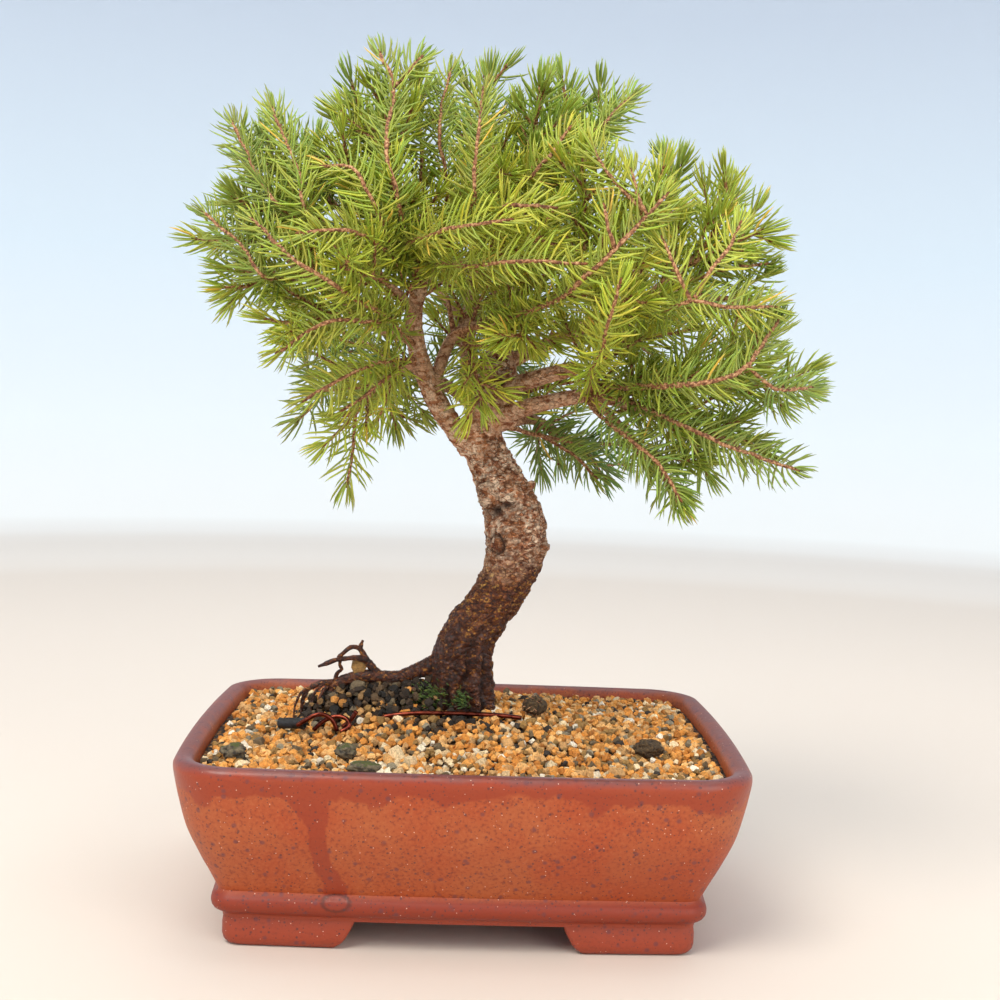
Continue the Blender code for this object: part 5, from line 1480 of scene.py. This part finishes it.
def make_bough_shoots(finishes):
    """Short needled shoots all along the outer boughs, which fill the crown."""
    needle, bud = needle_shape(), bud_shape()
    halves = {"bough_shoots_front": (Gather(), []), "bough_shoots_back": (Gather(), [])}
    draw = np.random.default_rng(SEED)
    for name, (points, _) in BOUGHS.items():
        if name == "cut_stub":
            continue
        path = smooth_path(points, 1.0)
        total = len(path) - 1
        from_share = 0.75 if name == "riser" else 0.3
        count = round(total * (1 - from_share) / BOUGH_SPACING)
        for number, station in enumerate(total * np.linspace(from_share, 1, count)):
            base, along, out = turned_out(path, station, number, draw)
            shoot = side_path(base, along, out, draw.uniform(*BOUGH_SHOOTS), draw.uniform(0.0, 0.5))
            if is_open(shoot[len(shoot) // 2]) or is_open(shoot[-1]):
                continue
            gathered, lines = halves["bough_shoots_front" if shoot[-1][1] < 0 else "bough_shoots_back"]
            tint = leaf_tint(shoot[-1], draw) * draw.uniform(0.85, 1.1)
            clad(gathered, needle, shoot, 2.5, draw, tint)
            lines.append(with_radii(shoot, SIDE_RADIUS, SIDE_RADIUS * TIP_SHARE))
            add_bud(gathered, bud, shoot)
    for name, (gathered, lines) in halves.items():
        gathered.add(tubes(lines, 1), slot=TWIG_SLOT)
        add_piece(gathered.mesh(), name, finishes)


def make_front_twigs(finishes):
    """Long twigs over the crown's front face and within it, without needles that point straight forward."""
    needle, bud = needle_shape(), bud_shape()
    draw = np.random.default_rng(SEED + 3)
    gathered = Gather()
    lines = []
    for points, radii in FRONT_TWIGS:
        path = smooth_path(points, 1.0)
        tint = leaf_tint(path[-1], draw) * draw.uniform(0.76, 0.98)
        path = path + 0.5 * np.array([noise.noise_vector(Vector(place) / 6.0) for place in path])
        bare = min(BARE_SHARE * len(path), MOST_BARE)
        clad(gathered, needle, path, bare, draw, tint, 0.9, FACE_LIMIT, FACE_CLOSENESS)
        line = with_radii(path, *radii)
        line[:, 3] *= TWIG_SLIMNESS
        line[:, 3] *= draw.uniform(0.85, 1.2, len(line))
        lines.append(line)
        add_bud(gathered, bud, path, FRONT_BUD, 0.0)
    gathered.add(tubes(lines, 2), slot=TWIG_SLOT)
    add_piece(gathered.mesh(), "front_twigs", finishes)


def make_foliage(paths, finishes):
    """A spray of needled shoots at each twig."""
    shapes = (needle_shape(), bud_shape())
    for number, (path, first) in enumerate(paths):
        draw = np.random.default_rng(SEED + number)
        gathered = Gather()
        lines = []
        total = len(path) - 1
        tint = leaf_tint(SPRAYS[number][2], draw)
        grow(gathered, shapes, path, max(2.0, first * total - 6), draw, tint, lines, 0.16, 0.9)
        gathered.add(tubes(lines, 1), slot=TWIG_SLOT)
        name = f"{number + 1:02d}"
        add_piece(gathered.mesh(), "foliage_" + name, finishes, ["spray_" + name])


# Loose things on the soil

def make_wires(finish):
    """A bar of tie wire that lies over the grains before the trunk, and a cut end bent into loops."""
    bar = smooth_path([(x, y, z, WIRE_RADIUS) for x, y, z in WIRE_BAR], 1.0)
    low = PLACE.inverted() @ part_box("wire_bar")[0]
    bar[:, 2] += low.z + WIRE_RADIUS - WIRE_SUNK - bar[:, 2].min()
    add_piece(mesh_from(tubes([bar], 5)), "tie_wire_bar", [finish], ["wire_bar"])
    loops = [smooth_path([(x, y, z, WIRE_RADIUS) for x, y, z in loop], 0.8) for loop in WIRE_LOOPS]
    add_piece(mesh_from(tubes(loops, 5)), "tie_wire_loops", [finish], ["wire_twist"])


def make_sleeve():
    """A cut length of rubber tube, hollow, with a crumpled end."""
    low, high = (PLACE.inverted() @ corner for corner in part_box("wire_sleeve"))
    start, end = (Vector((*plan, (low.z + high.z) / 2 + rise)) for plan, rise in SLEEVE_ENDS)
    bm = bmesh.new()
    turn = (end - start).to_track_quat("Z", "Y").to_matrix().to_4x4()
    place = Matrix.Translation(start) @ turn
    bmesh.ops.create_circle(bm, cap_ends=False, segments=20, radius=SLEEVE_RADIUS, matrix=place)
    edges = bm.edges[:]
    for _ in range(SLEEVE_STEPS):
        drawn = bmesh.ops.extrude_edge_only(bm, edges=edges)["geom"]
        verts = [part for part in drawn if isinstance(part, bmesh.types.BMVert)]
        edges = [part for part in drawn if isinstance(part, bmesh.types.BMEdge) and part.is_boundary]
        bmesh.ops.translate(bm, verts=verts, vec=(end - start) / SLEEVE_STEPS)
    for vert in bm.verts:
        vert.co.z -= 0.35 * max(0.0, noise.noise(vert.co * 0.5)) * (vert.co.z - low.z)
    bmesh.ops.recalc_face_normals(bm, faces=bm.faces)
    wall = evaluated(mesh_from(bm), "SOLIDIFY", thickness=SLEEVE_WALL, offset=-1.0)
    finish = plain_grain("black_rubber", "#131314", "#242426", 1.5, 0.7)
    add_piece(wall, "rubber_sleeve", [finish], ["wire_sleeve"], sharp=50)


def hairs(base, aims, length, width):
    """Places for needle shapes of a length and a width that stand on base points along their aims."""
    side = unit(np.cross(aims, HAIR_ACROSS))
    return np.stack([side * width, np.cross(aims, side) * width, aims * length[:, None], base], axis=2)


def make_stone(name, node, finish, seed, roughness=0.16, fibres=None):
    """A loose stone or clod with a broken surface, in the space of its solid."""
    low, high = (PLACE.inverted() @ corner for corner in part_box(node))
    middle = (low + high) / 2
    half = (high - low) / 2
    bm = bmesh.new()
    bmesh.ops.create_icosphere(bm, subdivisions=4, radius=1.0)
    for vert in bm.verts:
        place = vert.co * 1.4 + Vector((seed * 7.3, 0, 0))
        rough = noise.noise(place) + 0.5 * noise.noise(place * 2.6) + 0.25 * noise.noise(place * 6)
        vert.co *= min(1.0, 0.9 + roughness * rough)
        vert.co = Vector((vert.co.x * half.x, vert.co.y * half.y, vert.co.z * half.z)) + middle
    gathered = Gather()
    gathered.add(bm)
    finishes = [finish]
    if fibres:
        draw = np.random.default_rng(seed)
        out = unit(draw.normal(size=(FIBRE_COUNT, 3)))
        base = np.array(middle) + out * np.array(half) * 0.85
        bend = unit(out + draw.normal(0, 0.6, (FIBRE_COUNT, 3)))
        places = hairs(base, bend, draw.uniform(*FIBRE_LENGTHS, FIBRE_COUNT), FIBRE_WIDTH)
        colours = np.tile(linear(FIBRE_COLOUR)[:3], (FIBRE_COUNT, 1))
        gathered.stamp(needle_shape(), places, colours, 1)
        finishes.append(fibres)
    add_piece(gathered.mesh(), name, finishes, [node])


def make_moss():
    """Small cushions of moss in the grooves of the trunk's foot."""
    draw = np.random.default_rng(SEED)
    gathered = Gather()
    shape = needle_shape()
    for place, spread, count in MOSS:
        base = np.array(place) + draw.normal(0, 1, (count, 3)) * (spread, 0.8, spread)
        aims = unit(draw.normal(0, 0.5, (count, 3)) + (0, -0.5, 0.7))
        places = hairs(base, aims, draw.uniform(*LEAF_LENGTHS, count), LEAF_WIDTH)
        gathered.stamp(shape, places, mixed_colours(draw, count, MOSS_COLOURS, 0.25))
    add_piece(gathered.mesh(), "foot_moss", [moss_leaf()])


# Stage, light and camera

def make_stage():
    """A pale floor that rises all round into a bowl, cream below and light blue above."""
    profile = smooth_path(BOWL, 60, 2)
    bm = bmesh.new()
    verts = [bm.verts.new((x, 0, z)) for x, z in np.maximum(profile, 0)]
    edges = [bm.edges.new(pair) for pair in zip(verts, verts[1:])]
    bmesh.ops.spin(
        bm, geom=verts + edges, cent=(0, 0, 0), axis=(0, 0, 1), angle=2 * math.pi, steps=96, use_merge=True
    )
    bmesh.ops.remove_doubles(bm, verts=bm.verts, dist=0.001)
    bmesh.ops.recalc_face_normals(bm, faces=bm.faces)
    mesh = mesh_from(bm, "floor")
    mesh.transform(PLACE)
    mesh.shade_smooth()
    finish = new_finish("painted_backdrop")
    place = pot_place(finish)
    height = add(finish, "SeparateXYZ", {0: place}).outputs[2]
    level = add(finish, "MapRange", {"Value": height, "From Max": BACKDROP_TOP}).outputs[0]
    colour = add(finish, "ValToRGB", {0: level}, stops=BACKDROP).outputs[0]
    surface(finish, Base_Color=colour, Roughness=0.9)
    mesh.materials.append(finish)
    floor = linked("floor", mesh)


def make_lights():
    """The soft lamps and the pale room round them."""
    for name, (place, side, power, colour) in LAMPS.items():
        lamp = bpy.data.lights.new(name, "AREA")
        lamp.size = side * MM
        lamp.energy = power
        lamp.color = linear(colour)[:3]
        item = linked(name, lamp)
        item.location = PLACE @ Vector(place)
        item.rotation_mode = "QUATERNION"
        item.rotation_quaternion = (LAMP_TARGET - Vector(place)).to_track_quat("-Z", "Y")
    world = bpy.data.worlds.new("pale_room")
    world.use_nodes = True
    sky = world.node_tree.nodes["Background"]
    sky.inputs["Color"].default_value = linear(ROOM_COLOUR)
    sky.inputs["Strength"].default_value = ROOM_STRENGTH
    bpy.context.scene.world = world


def make_camera():
    lens = bpy.data.cameras.new("camera")
    lens.lens = LENS
    lens.clip_start = 0.01
    camera = linked("camera", lens)
    forward = Vector((math.sin(PAN) * math.cos(TILT), math.cos(PAN) * math.cos(TILT), -math.sin(TILT)))
    camera.location = PLACE @ Vector(EYE)
    camera.rotation_mode = "QUATERNION"
    camera.rotation_quaternion = forward.to_track_quat("-Z", "Y") @ Quaternion((0, 0, 1), ROLL)
    bpy.context.scene.camera = camera


def main():
    bpy.context.scene.view_settings.view_transform = "Standard"
    make_camera()
    make_pot()
    make_soil_bed()
    clay = fired_clay()
    make_grains(clay)
    boughs = bough_paths()
    paths = []
    for bough, share, tip in SPRAYS:
        path = spray_path(boughs[bough], share, tip)
        first = bare_share(path)
        paths.append((path[:-TRIM], first * len(path) / (len(path) - TRIM)))
    twig_finish = shoot_bark()
    bark = spruce_bark()
    make_bark(bark)
    make_thin_wood([path[: int(first * (len(path) - 1)) + 2] for path, first in paths], twig_finish, bark)
    make_humus(clay)
    leafy = [spruce_needle(), twig_finish, bud_scale()]
    make_foliage(paths, leafy)
    make_bough_shoots(leafy)
    make_front_twigs(leafy)
    make_wires(anodised_wire())
    make_sleeve()
    clod = plain_grain("root_clod", "#2A1F14", "#5E4A30", 0.8, 0.95)
    mossy = plain_grain("mossy_lava", "#35302A", "#776A52", 1.2, 0.9, moss=0.62)
    pebble = plain_grain("tan_pebble", "#A87C4C", "#C9A477", 1.0, 0.9)
    make_stone("clod", "root_clod", clod, 1, 0.3, twig_finish)
    make_stone("clump", "dark_clump", clod, 2, 0.34)
    make_stone("pebble", "wedge_pebble", pebble, 3)
    make_stone("mossy_stone_left", "moss_stone_left", mossy, 4, 0.36)
    make_stone("mossy_stone_front", "moss_stone_front", mossy, 5, 0.36)
    make_stone("mossy_stone_flat", "flat_stone", mossy, 6, 0.3)
    make_moss()
    plastic = plain_grain("moulded_plastic", "#10160F", "#1B241B", 2.0, 0.5)
    for name in ("screen_left", "screen_right"):
        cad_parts[name].material_slots[0].material = plastic
    make_stage()
    make_lights()


main()
